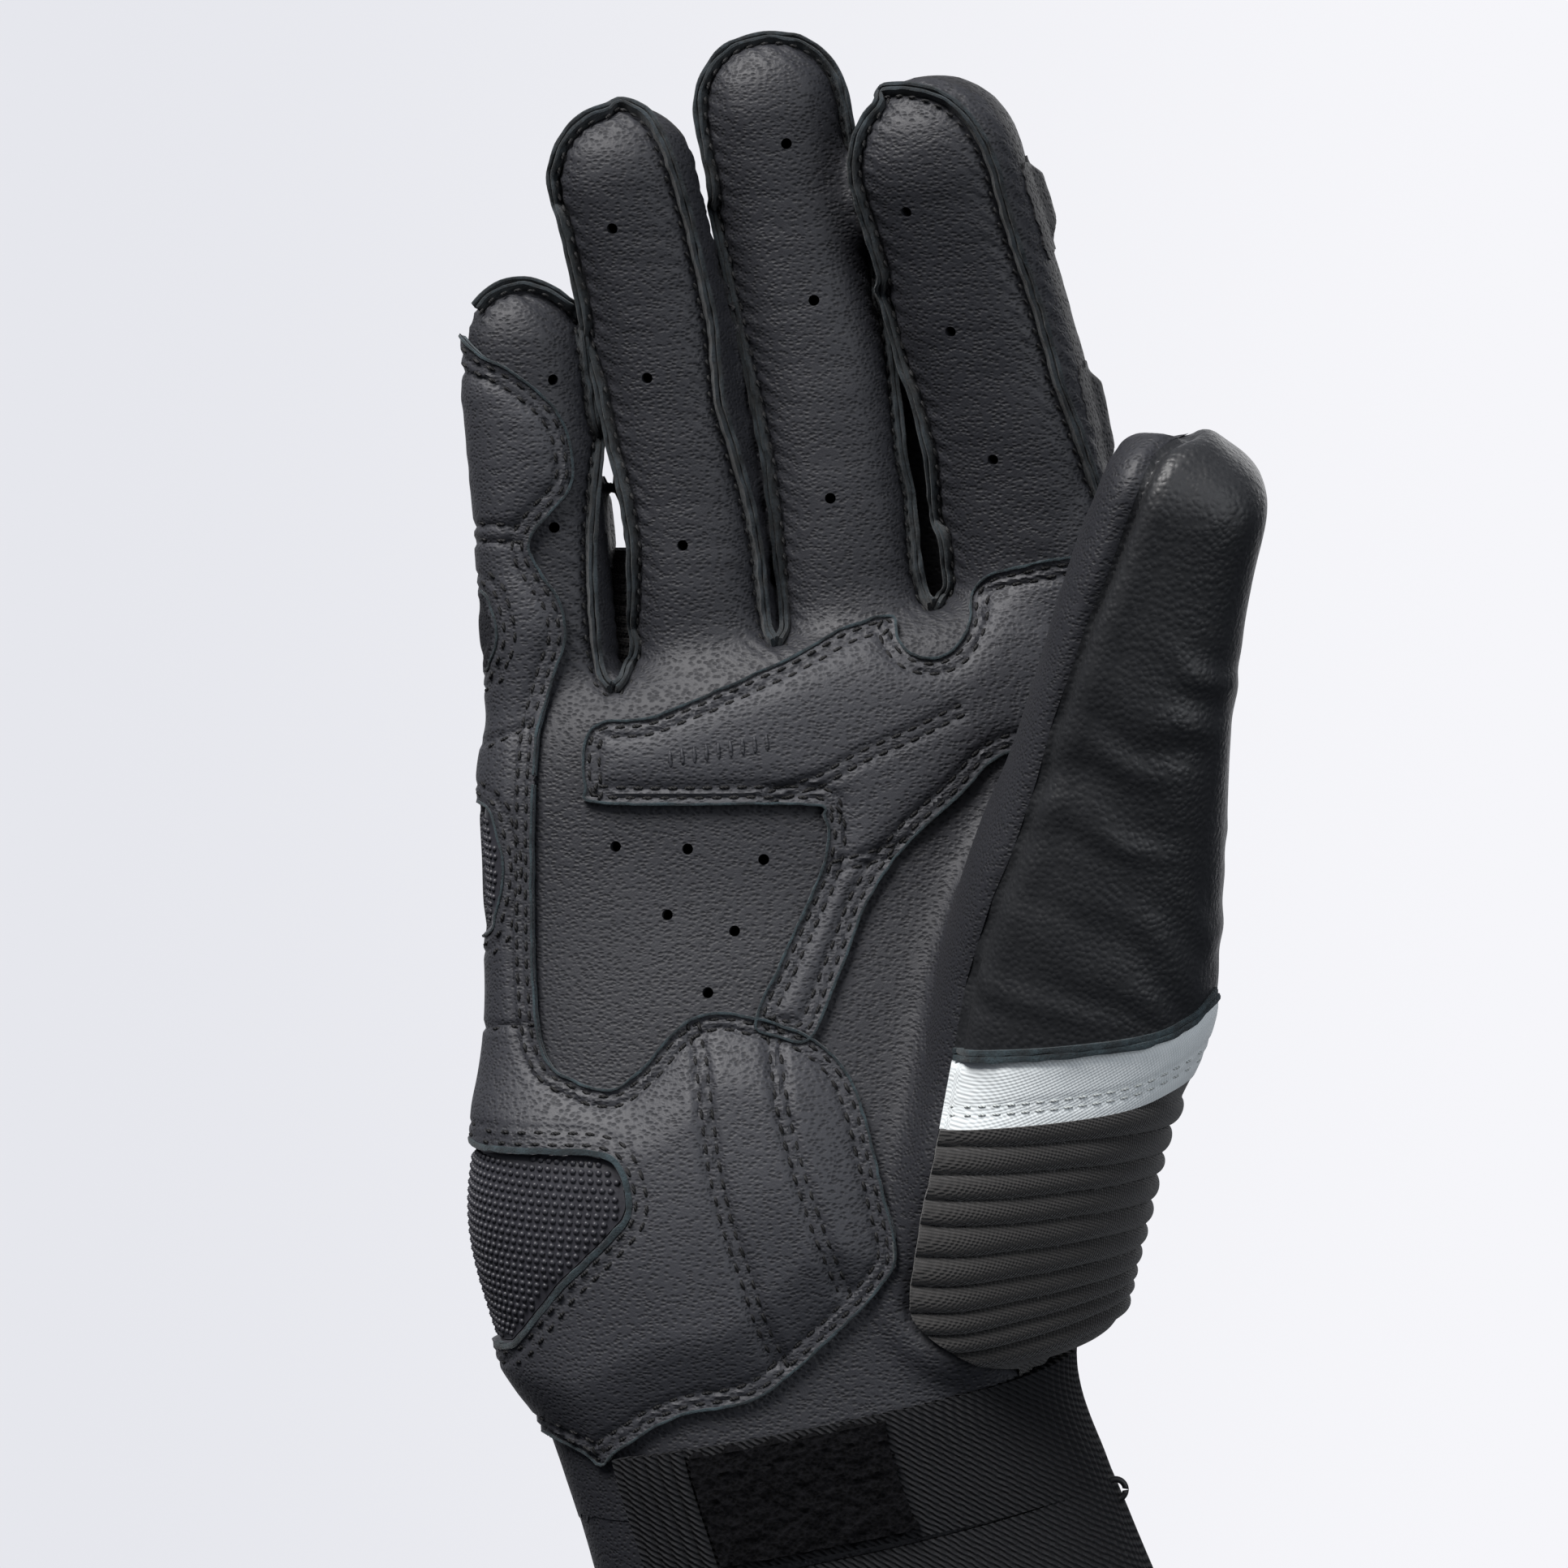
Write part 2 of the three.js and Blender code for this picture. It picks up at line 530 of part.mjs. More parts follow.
const seams = Object.fromEntries(
  FINGERS.map((finger, i) => {
    const others = FINGERS.filter((other) => other !== finger).map((other) => digit(other, GAP));
    const later = FINGERS.slice(i + 1).map((other) => seam(other, GAP));
    const clear = join([hand(GAP), digit(finger, GAP), ...others, ...later]);
    return ["seam_" + finger.name, seam(finger, 0).subtract(clear)];
  }),
);
const seamRoom = join(FINGERS.map((finger) => seam(finger, GAP)));

// Leather sewn on top, and the grip rubber in its windows
const sewnOn = (thickness) => fingered(GAP + thickness).subtract(fingered(GAP)).subtract(thumb(GAP));
const windows = [
  { name: "grip_heel", outline: HEEL_WINDOW },
  { name: "grip_side_mid", outline: MID_WINDOW },
  { name: "grip_side_upper", outline: UPPER_WINDOW },
];
const windowSolid = ({ outline }, grow) =>
  prism(outlined(outline, grow), -FAR, WINDOW_BACK * PALM_DEPTH + grow);
const outerRoom = prism(outlined(OUTER_OUTLINE, GAP), -FAR, OVERLAY_BACK * PALM_DEPTH + GAP);
const outerOverlay = sewnOn(OVERLAY)
  .intersect(prism(outlined(OUTER_OUTLINE), -FAR, OVERLAY_BACK * PALM_DEPTH))
  .subtract(seamRoom)
  .subtract(join(windows.map((window) => windowSolid(window, 0))));
const palmOverlay = sewnOn(OVERLAY)
  .intersect(prism(outlined(PALM_OUTLINE), -FAR, 0))
  .subtract(seamRoom)
  .subtract(outerRoom);
const grips = Object.fromEntries(
  windows.map((window) => [window.name, sewnOn(GRIP).intersect(windowSolid(window, -GAP))]),
);

// The straps lie round the cuff, open at the little finger's side
const wristStrapFrom = WRIST_STRAP_UP - WRIST_STRAP_WIDTH / 2;
const wristStrapTo = WRIST_STRAP_UP + WRIST_STRAP_WIDTH / 2;
const wristStrap = hand(GAP + STRAP)
  .subtract(hand(GAP))
  .intersect(slab(wristStrapFrom, wristStrapTo, CUFF_TILT))
  .intersect(rightOf(wrist.x - WRIST_STRAP_END))
  .subtract(thumb(GAP));
const cuffStrapRoom = slab(
  CUFF_STRAP_UP - CUFF_STRAP_WIDTH / 2,
  CUFF_STRAP_UP + CUFF_STRAP_WIDTH / 2,
  CUFF_STRAP_TILT,
);
const cuffStrap = hand(GAP + STRAP)
  .subtract(hand(GAP))
  .intersect(cuffStrapRoom)
  .subtract(slab(wristStrapFrom - GAP, wristStrapTo, CUFF_TILT))
  .intersect(rightOf(wrist.x - CUFF_STRAP_END));

// Pieces that lie on a strap or on the cuff, in front, between two places across and up
function onFront(lift, thickness, left, right, from, to) {
  return hand(lift + thickness)
    .subtract(hand(lift))
    .intersect(slab(from, to, CUFF_TILT))
    .intersect(box([left, -FAR, -FAR], [right, 0, FAR]));
}
const foldLeft = wrist.x - WRIST_STRAP_END;
const onStrap = 2 * GAP + STRAP;
const strapEnd = onFront(onStrap, STRAP, foldLeft, foldLeft + FOLD_LENGTH, wristStrapFrom, wristStrapTo);
const hookLeft = foldLeft + FOLD_LENGTH + GAP;
const hookPatch = onFront(
  onStrap,
  PATCH,
  hookLeft,
  hookLeft + HOOK_LENGTH,
  WRIST_STRAP_UP - HOOK_WIDTH / 2,
  WRIST_STRAP_UP + HOOK_WIDTH / 2,
).subtract(thumb(GAP));
const underPatch = onFront(
  GAP,
  PATCH,
  foldLeft,
  foldLeft + UNDER_LENGTH,
  wristStrapFrom - GAP - UNDER_WIDTH,
  wristStrapFrom - GAP,
);

// The small ring at the thumb's side, on the upper edge of the cuff strap
function strapRing() {
  const up = (wristStrapFrom + CUFF_STRAP_UP + CUFF_STRAP_WIDTH / 2) / 2 / CUFF_LENGTH;
  const [section] = framed([
    { centre: wrist.clone().multiplyScalar(up), across: tilted(CUFF_TILT), width: WRIST_WIDTH,
      depth: WRIST_DEPTH, level: -FAR },
    { centre: wrist.clone(), across: tilted(CUFF_TILT), width: WRIST_WIDTH, depth: WRIST_DEPTH },
  ]);
  const spot = rim(section, radians(14));
  const out = GAP * 3 + STRAP + RING_RADIUS + RING_WIRE;
  spot.addScaledVector(section.across, out);
  const ring = new THREE.TorusGeometry(RING_RADIUS, RING_WIRE, 6, 10);
  return solid(ring.rotateX(Math.PI / 2).translate(...spot.toArray()));
}

// The ribbed web between the little and the ring finger
const [little, ring] = FINGERS;
const webRoot = onPalm((little.across + ring.across) / 2, little.up);
const webHalf = ((ring.across - little.across) * PALM_WIDTH) / 2 - little.width / 4;
const WEB_HEIGHT = 20;
const WEB_SINK = 5; // how far the web starts below the crotch
const WEB_DEPTH = 11;
const webRoom = (clear) =>
  box(
    [webRoot.x - webHalf, -WEB_DEPTH / 2 - clear, webRoot.z - WEB_SINK],
    [webRoot.x + webHalf, WEB_DEPTH / 2 + clear, webRoot.z + WEB_HEIGHT + clear],
  );
const web = webRoom(0).subtract(fingered(GAP)).subtract(seamRoom);

// A pad on the back of a finger
function fingerPad({ finger: name, from, to }) {
  const finger = FINGERS.find((row) => row.name === name);
  const others = FINGERS.filter((other) => other !== finger).map((other) => digit(other, GAP));
  const rows = [from, mix(from, to, 0.5), to].map((along) => fingerSection(finger, along));
  return loft(rows, { grow: GAP + PAD, sides: FINGER_SIDES })
    .subtract(join([digit(finger, GAP), ...others]))
    .subtract(digit(finger, GAP + 2 * PAD, { level: PAD_LEVEL }))
    .subtract(outerRoom)
    .subtract(webRoom(GAP));
}

const pieces = [
  ["palm_panel", palmPanel, "leather"],
  ["back_panel", backPanel, "leather"],
  ["thenar_panel", thenarPanel, "smooth"],
  ["thumb_panel", thumbPanel, "smooth"],
  ["thumb_stripe", thumbStripe, "fabric"],
  ["thumb_ribs", thumbRibs, "ribbed"],
  ["palm_overlay", palmOverlay, "leather"],
  ["outer_overlay", outerOverlay, "leather"],
  ...windows.map(({ name }) => [name, grips[name], "rubber"]),
  ...Object.entries(seams).map(([name, piece]) => [name, piece, "suede"]),
  ...PADS.map((pad) => [pad.name, fingerPad(pad), "leather"]),
  ["finger_web", web, "ribbed"],
  ["cuff", cuff, "leather"],
  ["wrist_strap", wristStrap, "webbing"],
  ["strap_end", strapEnd, "webbing"],
  ["strap_hook_patch", hookPatch, "pile"],
  ["under_patch", underPatch, "pile"],
  ["cuff_strap", cuffStrap, "webbing"],
  ["strap_ring", strapRing(), "webbing"],
];

const glove = new THREE.Group();
for (const [name, piece, look] of pieces) {
  const { numProp, vertProperties, triVerts } = mainBody(piece).getMesh();
  const data = new THREE.InterleavedBuffer(vertProperties, numProp);
  const geometry = new THREE.BufferGeometry();
  geometry.setAttribute("position", new THREE.InterleavedBufferAttribute(data, 3, 0));
  geometry.setIndex(new THREE.BufferAttribute(triVerts, 1));
  const mesh = new THREE.Mesh(geometry, new THREE.MeshStandardMaterial(LOOKS[look]));
  mesh.name = name;
  glove.add(mesh);
}

export default glove;
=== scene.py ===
"""A motorcycle glove for the right hand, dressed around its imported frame.

The palm faces -Y, the fingers point up and the thumb is at +X. Pieces are shaped in millimetres
and brought to metres when they are hung on the frame.
"""

import itertools
import math

import bmesh
import bpy
import numpy as np
from mathutils import Matrix, Vector, kdtree
from mathutils.bvhtree import BVHTree


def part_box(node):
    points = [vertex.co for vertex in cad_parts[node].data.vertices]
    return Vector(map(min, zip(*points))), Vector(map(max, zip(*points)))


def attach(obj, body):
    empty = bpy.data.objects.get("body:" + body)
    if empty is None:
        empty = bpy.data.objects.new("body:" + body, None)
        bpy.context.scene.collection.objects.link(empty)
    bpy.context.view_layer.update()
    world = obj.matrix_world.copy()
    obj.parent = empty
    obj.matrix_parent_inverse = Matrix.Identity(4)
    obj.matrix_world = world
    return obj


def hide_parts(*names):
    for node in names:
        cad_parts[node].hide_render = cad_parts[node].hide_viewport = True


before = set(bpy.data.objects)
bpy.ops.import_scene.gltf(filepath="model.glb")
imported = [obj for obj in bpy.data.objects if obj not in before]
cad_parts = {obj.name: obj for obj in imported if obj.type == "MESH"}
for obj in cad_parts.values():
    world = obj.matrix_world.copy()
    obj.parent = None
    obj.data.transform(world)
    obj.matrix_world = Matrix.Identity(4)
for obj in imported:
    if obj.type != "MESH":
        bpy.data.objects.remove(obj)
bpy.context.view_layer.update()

# Sizes of the hand, as in the part's source
PALM_WIDTH = 98
PALM_LENGTH = 113
PALM_DEPTH = 44
WRIST_WIDTH = 75.5
WRIST_DEPTH = 50
HEM_WIDTH = 87.5
HEM_DEPTH = 68
CUFF_LENGTH = 75.6
CUFF_LEAN = math.radians(17.2)
CUFF_TILT = 11
ROUND = 2.6
PALM_CROWN = 3.5

# Sizes of the thumb
THUMB_LENGTH = 128
THUMB_WIDTH = 41
THUMB_DEPTH = 44
THUMB_REACH = 47
THUMB_CROWN = 9.5
THUMB_FOOT = 6

# Leather, webbing and rubber
LEATHER = 1.8
GAP = 0.3
OVERLAY = 1.4
GRIP = 0.9
RIBBON_WIDTH = 0.62
RIBBON_HEIGHT = 1.5
STRAP = 2.0

# The straps' places along the forearm's axis, and their widths
WRIST_STRAP_UP = 67.6
WRIST_STRAP_WIDTH = 20
WRIST_STRAP_END = 0.338 * WRIST_WIDTH
CUFF_STRAP_UP = 37
CUFF_STRAP_WIDTH = 34
CUFF_STRAP_END = 0.106 * WRIST_WIDTH
FOLD_LENGTH = 9.5
HOOK_LENGTH = 28
HOOK_WIDTH = 17.5
UNDER_LENGTH = 13
UNDER_WIDTH = 19

# How finely the shapes are meshed
VOXEL = 1.25
CROWN_STEPS = 7

# Sewn rows: how far inside an overlay's edge, outside its windows, and above the stripe's foot
EDGE_ROWS = (1.15, 2.6)
WINDOW_ROWS = (1.4, 3.0)
STRIPE_ROWS = (2.0, 3.2)
# A stitch row's pitch, and its stitches' length, width and height over the leather
STITCH = (2.5, 1.7, 0.62, 0.02)
FINE_STITCH = (2.5, 1.7, 0.6, 0.02)
PALE_STITCH = (2.0, 1.45, 0.42, 0.02)

# The grip's studs: rows and pitch, and half sizes
STUD_ROWS = 1.2
STUD_PITCH = 1.32
STUD_SIZE = (0.56, 0.56, 0.5, 1)
# Studs are found by looking inwards at an upright core, from these turns
STUD_CORE = (-22, 5)
STUD_TURNS = np.linspace(math.radians(150), math.radians(300), 150)

# Depths along Y: in front of and behind everything, and the ends of the overlay and its windows
NEAR = -200
FAR = 200
OVERLAY_BACK = 0.16 * PALM_DEPTH
WINDOW_BACK = 0.06 * PALM_DEPTH
MARGIN = 2.5  # how far a sheet goes past its outline before it is cut
HOLE_RADIUS = 0.8

# root across and up, length, width, depth, lean, pitch, curl, bow, width at the tip, twist;
# lengths are shares of the palm's length, widths, depths and bows of its width
FINGERS = {
    "little": (-0.382, 0.95, 0.522, 0.192, 0.194, 2.7, 3, 10, -0.03, 0.9, 0),
    "ring": (-0.153, 0.975, 0.73, 0.214, 0.206, 5.4, 3, 14, -0.0725, 1, 0),
    "middle": (0.0716, 1.02, 0.774, 0.213, 0.209, 8.2, 1, 12, -0.0275, 1.02, 0),
    "index": (0.349, 1.05, 0.704, 0.265, 0.232, 8.8, 8, 15, -0.094, 0.96, 18),
}
FINGER_FORM = [(-0.32, 0.92, 0.9), (0, 1, 1), (0.4, 1, 0.99), (0.86, 1, 0.92), (1, 1, 0.9)]
CUFF_FORM = [(-0.1, -0.14), (0, 0), (0.4, 0.55), (0.72, 0.95)]
# left, leftUp, right, rightUp, deep, forward
PALM_FORM = [
    (-0.448, 0.109, 0.447, 0.235, 1.04, 0.04),
    (-0.489, 0.254, 0.478, 0.378, 1.0, 0.05),
    (-0.468, 0.431, 0.488, 0.545, 0.9, 0.03),
    (-0.478, 0.625, 0.483, 0.735, 0.8, 0),
    (-0.489, 0.8, 0.488, 0.915, 0.76, 0),
    (-0.478, 0.87, 0.488, 1.02, 0.7, 0.01),
    (-0.455, 0.905, 0.467, 1.07, 0.58, 0.02),
]
THUMB_BASE = (0.29, 0.135, 0.24)
# up, out, reach, wide, deep, tilt
THUMB_FORM = [
    (0, 0, 0, 0.84, 0.84, 12),
    (0.11, 0.007, 0.06, 0.94, 0.96, 12),
    (0.21, 0.024, 0.13, 0.97, 1, 12),
    (0.31, 0.059, 0.21, 1, 1, 10),
    (0.41, 0.078, 0.32, 0.95, 0.96, 5),
    (0.51, 0.093, 0.45, 0.86, 0.86, 0),
    (0.6, 0.112, 0.58, 0.75, 0.74, -5),
    (0.7, 0.127, 0.71, 0.66, 0.64, -9),
    (0.8, 0.144, 0.81, 0.61, 0.57, -12),
    (0.9, 0.172, 0.92, 0.555, 0.53, -14),
]

# Outlines in shares of the palm's width and length
STRIPE_TOP = [(0.1, 0.48), (0.22, 0.468), (0.44, 0.485), (0.53, 0.51), (0.6, 0.56), (0.8, 0.66)]
STRIPE_FOOT = [(0.1, 0.385), (0.2, 0.383), (0.42, 0.405), (0.52, 0.435), (0.6, 0.475), (0.8, 0.57)]
OUTER_OUTLINE = [
    (-0.56, 1.39), (-0.484, 1.36), (-0.421, 1.329), (-0.373, 1.287), (-0.352, 1.238),
    (-0.356, 1.19), (-0.415, 1.125), (-0.399, 1.084), (-0.372, 1.049), (-0.363, 0.997),
    (-0.384, 0.94), (-0.406, 0.85), (-0.411, 0.671), (-0.405, 0.527), (-0.39, 0.465),
    (-0.357, 0.44), (-0.295, 0.425), (-0.25, 0.451), (-0.2, 0.5), (-0.149, 0.523),
    (-0.084, 0.518), (-0.018, 0.5), (0.035, 0.468), (0.07, 0.417), (0.1, 0.317), (0.123, 0.221),
    (0.099, 0.177), (0.058, 0.138), (-0.001, 0.09), (-0.083, 0.036), (-0.2, 0.011), (-0.283, -0.035),
    (-0.31, -0.056), (-0.36, -0.034), (-0.6, 0.02), (-0.7, 0.2), (-0.7, 1.2),
]
PALM_OUTLINE = [
    (-0.335, 0.87), (-0.304, 0.893), (-0.239, 0.898), (-0.119, 0.94), (-0.018, 0.981),
    (0.048, 1.014), (0.12, 1.03), (0.13, 1.0), (0.147, 0.981), (0.18, 0.974), (0.21, 0.986),
    (0.232, 1.02), (0.237, 1.056), (0.26, 1.08), (0.311, 1.093), (0.401, 1.105), (0.47, 1.096),
    (0.47, 0.8), (0.303, 0.852), (0.213, 0.79), (0.131, 0.723), (0.081, 0.657), (0.047, 0.58),
    (0.0, 0.49), (-0.048, 0.49), (-0.084, 0.51), (-0.042, 0.595), (0.006, 0.687), (0.023, 0.739),
    (0.015, 0.77), (-0.012, 0.784), (-0.304, 0.785), (-0.335, 0.81),
]
HEEL_WINDOW = [
    (-0.6, 0.355), (-0.489, 0.342), (-0.381, 0.342), (-0.308, 0.34), (-0.28, 0.322),
    (-0.27, 0.274), (-0.307, 0.233), (-0.368, 0.179), (-0.427, 0.114), (-0.461, 0.095), (-0.6, 0.1),
]
MID_WINDOW = [
    (-0.6, 0.789), (-0.496, 0.785), (-0.469, 0.742), (-0.459, 0.701), (-0.471, 0.648),
    (-0.491, 0.616), (-0.6, 0.614),
]
UPPER_WINDOW = [
    (-0.6, 1.064), (-0.498, 1.06), (-0.478, 1.036), (-0.47, 1.004), (-0.481, 0.974),
    (-0.497, 0.959), (-0.6, 0.964),
]


def sized(shares):
    """An outline in shares of the palm's sizes as x and z in millimetres."""
    return np.array([(wrist[0] + across * PALM_WIDTH, wrist[2] + up * PALM_LENGTH) for across, up in shares])


def tilted(degrees):
    turn = math.radians(degrees)
    return np.array([math.cos(turn), 0, math.sin(turn)])


def unit(rows):
    return rows / np.maximum(np.linalg.norm(rows, axis=-1, keepdims=True), 1e-9)


forearm = np.array([-math.sin(CUFF_LEAN), 0, math.cos(CUFF_LEAN)])
wrist = forearm * CUFF_LENGTH


def eased(rows, count, loop=False):
    """Rows of numbers read as one smooth curve, at count places along it."""
    rows = np.asarray(rows, float)
    last = len(rows) if loop else len(rows) - 1
    places = np.linspace(0, last, count, endpoint=not loop)
    first = np.minimum(np.floor(places).astype(int), last - 1)
    share = (places - first)[:, None]
    if loop:
        a, b, c, d = (rows[(first + step) % len(rows)] for step in (-1, 0, 1, 2))
    else:
        ends = np.vstack([2 * rows[0] - rows[1], rows, 2 * rows[-1] - rows[-2]])
        a, b, c, d = (ends[first + step] for step in range(4))
    bent = 2 * b + (c - a) * share + (2 * a - 5 * b + 4 * c - d) * share**2
    return 0.5 * (bent + (3 * b - a - 3 * c + d) * share**3)


def run_of(points):
    """How far along their line points lie."""
    return np.concatenate([[0], np.cumsum(np.linalg.norm(np.diff(points, axis=0), axis=1))])


def spaced(points, step):
    """The same line with points an even step apart."""
    points = np.asarray(points, float)
    along = run_of(points)
    count = max(2, int(round(along[-1] / step)) + 1)
    wanted = np.linspace(0, along[-1], count)
    return np.stack([np.interp(wanted, along, column) for column in points.T], axis=1)


LATTICE = np.random.default_rng(11).uniform(-1, 1, (32, 32, 32))


def mottle(points, size, shift=0.0):
    """Smooth noise from -1 to 1, with features of about that size in millimetres."""
    spots = points / size + shift
    low = np.floor(spots).astype(int)
    share = spots - low
    share = share * share * (3 - 2 * share)
    total = np.zeros(len(points))
    for corner in itertools.product((0, 1), repeat=3):
        weight = np.prod(np.where(corner, share, 1 - share), axis=1)
        total += weight * LATTICE[tuple(((low + corner) % 32).T)]
    return total


# Meshes


def read(data, name="vertices", field="co"):
    """One three-part field of a mesh's elements as rows."""
    elements = getattr(data, name)
    values = np.empty(len(elements) * 3)
    elements.foreach_get(field, values)
    return values.reshape(-1, 3)


def write(data, spots):
    data.vertices.foreach_set("co", np.ascontiguousarray(spots).ravel())
    data.update()


def thing_of(bm, name):
    """A new object from a bmesh, which is used up."""
    data = bpy.data.meshes.new(name)
    bm.to_mesh(data)
    bm.free()
    made = bpy.data.objects.new(name, data)
    bpy.context.scene.collection.objects.link(made)
    return made


def drop(*things):
    for thing in things:
        bpy.data.objects.remove(thing)


def worked(thing, kind, **settings):
    """Puts one modifier on a piece and makes its result the piece's mesh."""
    step = thing.modifiers.new("step", kind)
    for name, value in settings.items():
        setattr(step, name, value)
    shown = thing.evaluated_get(bpy.context.evaluated_depsgraph_get())
    shaped = bpy.data.meshes.new_from_object(shown)
    thing.modifiers.clear()
    thing.data = shaped


def cut(thing, other, operation="DIFFERENCE"):
    """One boolean step."""
    worked(thing, "BOOLEAN", object=other, operation=operation, solver="MANIFOLD")


def edge_ends(data):
    """The numbers of every edge's two points."""
    edges = np.empty(len(data.edges) * 2, int)
    data.edges.foreach_get("vertices", edges)
    return edges.reshape(-1, 2).T


def tree_of(thing):
    """A tree for casting rays at a piece."""
    shape = bmesh.new()
    shape.from_mesh(thing.data)
    made = BVHTree.FromBMesh(shape)
    shape.free()
    return made


def near_tree(points):
    """A tree for finding the nearest of some places."""
    tree = kdtree.KDTree(len(points))
    for index, point in enumerate(points):
        tree.insert(point[:3], index)
    tree.balance()
    return tree


def relaxed(data, strength, rounds):
    """Smooths a mesh: every point moves towards its neighbours' middle by its own strength."""
    spots = read(data)
    one, other = edge_ends(data)
    count = len(spots)
    ends = np.bincount(one, minlength=count) + np.bincount(other, minlength=count)
    share = (np.asarray(strength) * np.ones(count))[:, None]
    for _ in range(rounds):
        middle = np.stack(
            [
                np.bincount(one, spots[other, axis], count) + np.bincount(other, spots[one, axis], count)
                for axis in range(3)
            ],
            axis=1,
        ) / np.maximum(ends, 1)[:, None]
        spots = spots + share * (middle - spots)
    write(data, spots)


# Lofts: rows hold a centre, an across direction, a width and a depth


def hand_rows():
    """Rings from below the hem, through the wrist, to the knuckles."""
    rows = []
    for along, taper in CUFF_FORM:
        width = HEM_WIDTH + (WRIST_WIDTH - HEM_WIDTH) * taper
        depth = HEM_DEPTH + (WRIST_DEPTH - HEM_DEPTH) * taper
        rows.append([*(wrist * along), *tilted(CUFF_TILT), width, depth])
    rows.append([*wrist, *tilted(CUFF_TILT), WRIST_WIDTH, WRIST_DEPTH])
    for left, left_up, right, right_up, deep, forward in PALM_FORM:
        (x0, z0), (x1, z1) = sized([(left, left_up), (right, right_up)])
        span = np.array([x1 - x0, 0, z1 - z0])
        width = np.linalg.norm(span)
        middle = [(x0 + x1) / 2, -forward * PALM_DEPTH, (z0 + z1) / 2]
        rows.append([*middle, *(span / width), width, deep * PALM_DEPTH])
    return eased(rows, 100)


def finger_row(name, along):
    """One ring of a finger: along is 0 at its root and 1 at its tip."""
    across, up, length, width, depth, lean, pitch, curl, bow, tip, twist = FINGERS[name]
    length, width, depth, bow = length * PALM_LENGTH, width * PALM_WIDTH, depth * PALM_WIDTH, bow * PALM_WIDTH
    shares, wide, deep = np.array(FINGER_FORM).T
    bend, start = math.radians(curl), math.radians(pitch)
    turn = start + bend * along
    rise = length * (math.sin(turn) - math.sin(start)) / bend
    forward = length * (math.cos(start) - math.cos(turn)) / bend
    leaned = math.radians(lean) - 2 * bow * along / length
    upward = np.array([-math.sin(leaned), 0, math.cos(leaned)])
    heading = upward * math.cos(turn) + np.array([0, -math.sin(turn), 0])
    across_it = Vector((upward[2], 0, -upward[0]))
    side = Matrix.Rotation(-math.radians(twist), 3, Vector(heading)) @ across_it
    level = tilted(lean)
    (x, z), = sized([(across, up)])
    centre = np.array([x, -forward, z]) + np.array([-level[2], 0, level[0]]) * rise + level * bow * along**2
    wide_here = width * np.interp(along, shares, wide) * (1 + (tip - 1) * min(1, max(0, along)))
    return [*centre, *side, wide_here, depth * np.interp(along, shares, deep)]


def tip_start(name):
    return 1 - tip_height(name) / (FINGERS[name][2] * PALM_LENGTH)


def tip_height(name):
    return 0.5 * FINGERS[name][3] * PALM_WIDTH


def finger_rows(name):
    return np.array([finger_row(name, along) for along in np.linspace(-0.32, tip_start(name), 30)])


def thumb_rows():
    across, up, forward = THUMB_BASE
    (x, z), = sized([(across, up)])
    rows = [
        [
            x + out * THUMB_LENGTH,
            -forward * PALM_DEPTH - reach * THUMB_REACH,
            z + high * THUMB_LENGTH,
            *tilted(tilt),
            wide * THUMB_WIDTH,
            deep * THUMB_DEPTH,
        ]
        for high, out, reach, wide, deep, tilt in THUMB_FORM
    ]
    return eased(rows, 60)


def stations(rows, crown=0, foot=0, grow=0):
    """The rows with their front and rise directions, and with rounded or flat ends closed to a point."""
    rows = np.array(rows, float)
    rows[:, 6:8] += 2 * grow
    heading = np.gradient(rows[:, :3], axis=0)
    front = unit(np.cross(rows[:, 3:6], heading))
    rise = np.cross(front, rows[:, 3:6])
    whole = np.hstack([rows, front, rise])

    def end(row, height):
        turns = np.radians(np.linspace(90 / CROWN_STEPS, 90, CROWN_STEPS)) if height else [math.pi / 2]
        made = []
        for turn in turns:
            ring = row.copy()
            ring[:3] += row[11:14] * height * math.sin(turn)
            ring[6:8] *= max(math.cos(turn), 0)
            made.append(ring)
        return made

    top = end(whole[-1], crown + grow if crown else 0)
    bottom = end(whole[0], -foot - grow if foot else 0)[::-1]
    return np.vstack([bottom, whole, top])


def rim(ring, turn, power=ROUND):
    """A point of a ring: turn 0 is its right side, 90 degrees its front."""
    side = np.sign(np.cos(turn)) * np.abs(np.cos(turn)) ** (2 / power)
    fore = np.sign(np.sin(turn)) * np.abs(np.sin(turn)) ** (2 / power)
    return ring[:3] + ring[3:6] * side * ring[6] / 2 + ring[8:11] * fore * ring[7] / 2


def loft(bm, rings, sides, power=ROUND):
    """A round shape bent to run through rings."""
    steps = len(rings) - 1
    made = bmesh.ops.create_uvsphere(bm, u_segments=sides, v_segments=steps, radius=1)["verts"]
    for vert in made:
        step = round(math.acos(max(-1, min(1, vert.co.z))) / math.pi * steps)
        vert.co = rim(rings[step], math.atan2(vert.co.y, vert.co.x), power)


def lofted(name, rings, sides):
    bm = bmesh.new()
    loft(bm, rings, sides)
    return thing_of(bm, name)


def stretch_off(points, x, z, dx, dz):
    """How far points lie from one straight stretch of a line, in the plane of x and z."""
    rel_x = points[:, 0] - x
    rel_z = points[:, -1] - z
    share = np.clip((rel_x * dx + rel_z * dz) / max(dx * dx + dz * dz, 1e-9), 0, 1)
    return np.hypot(rel_x - share * dx, rel_z - share * dz)


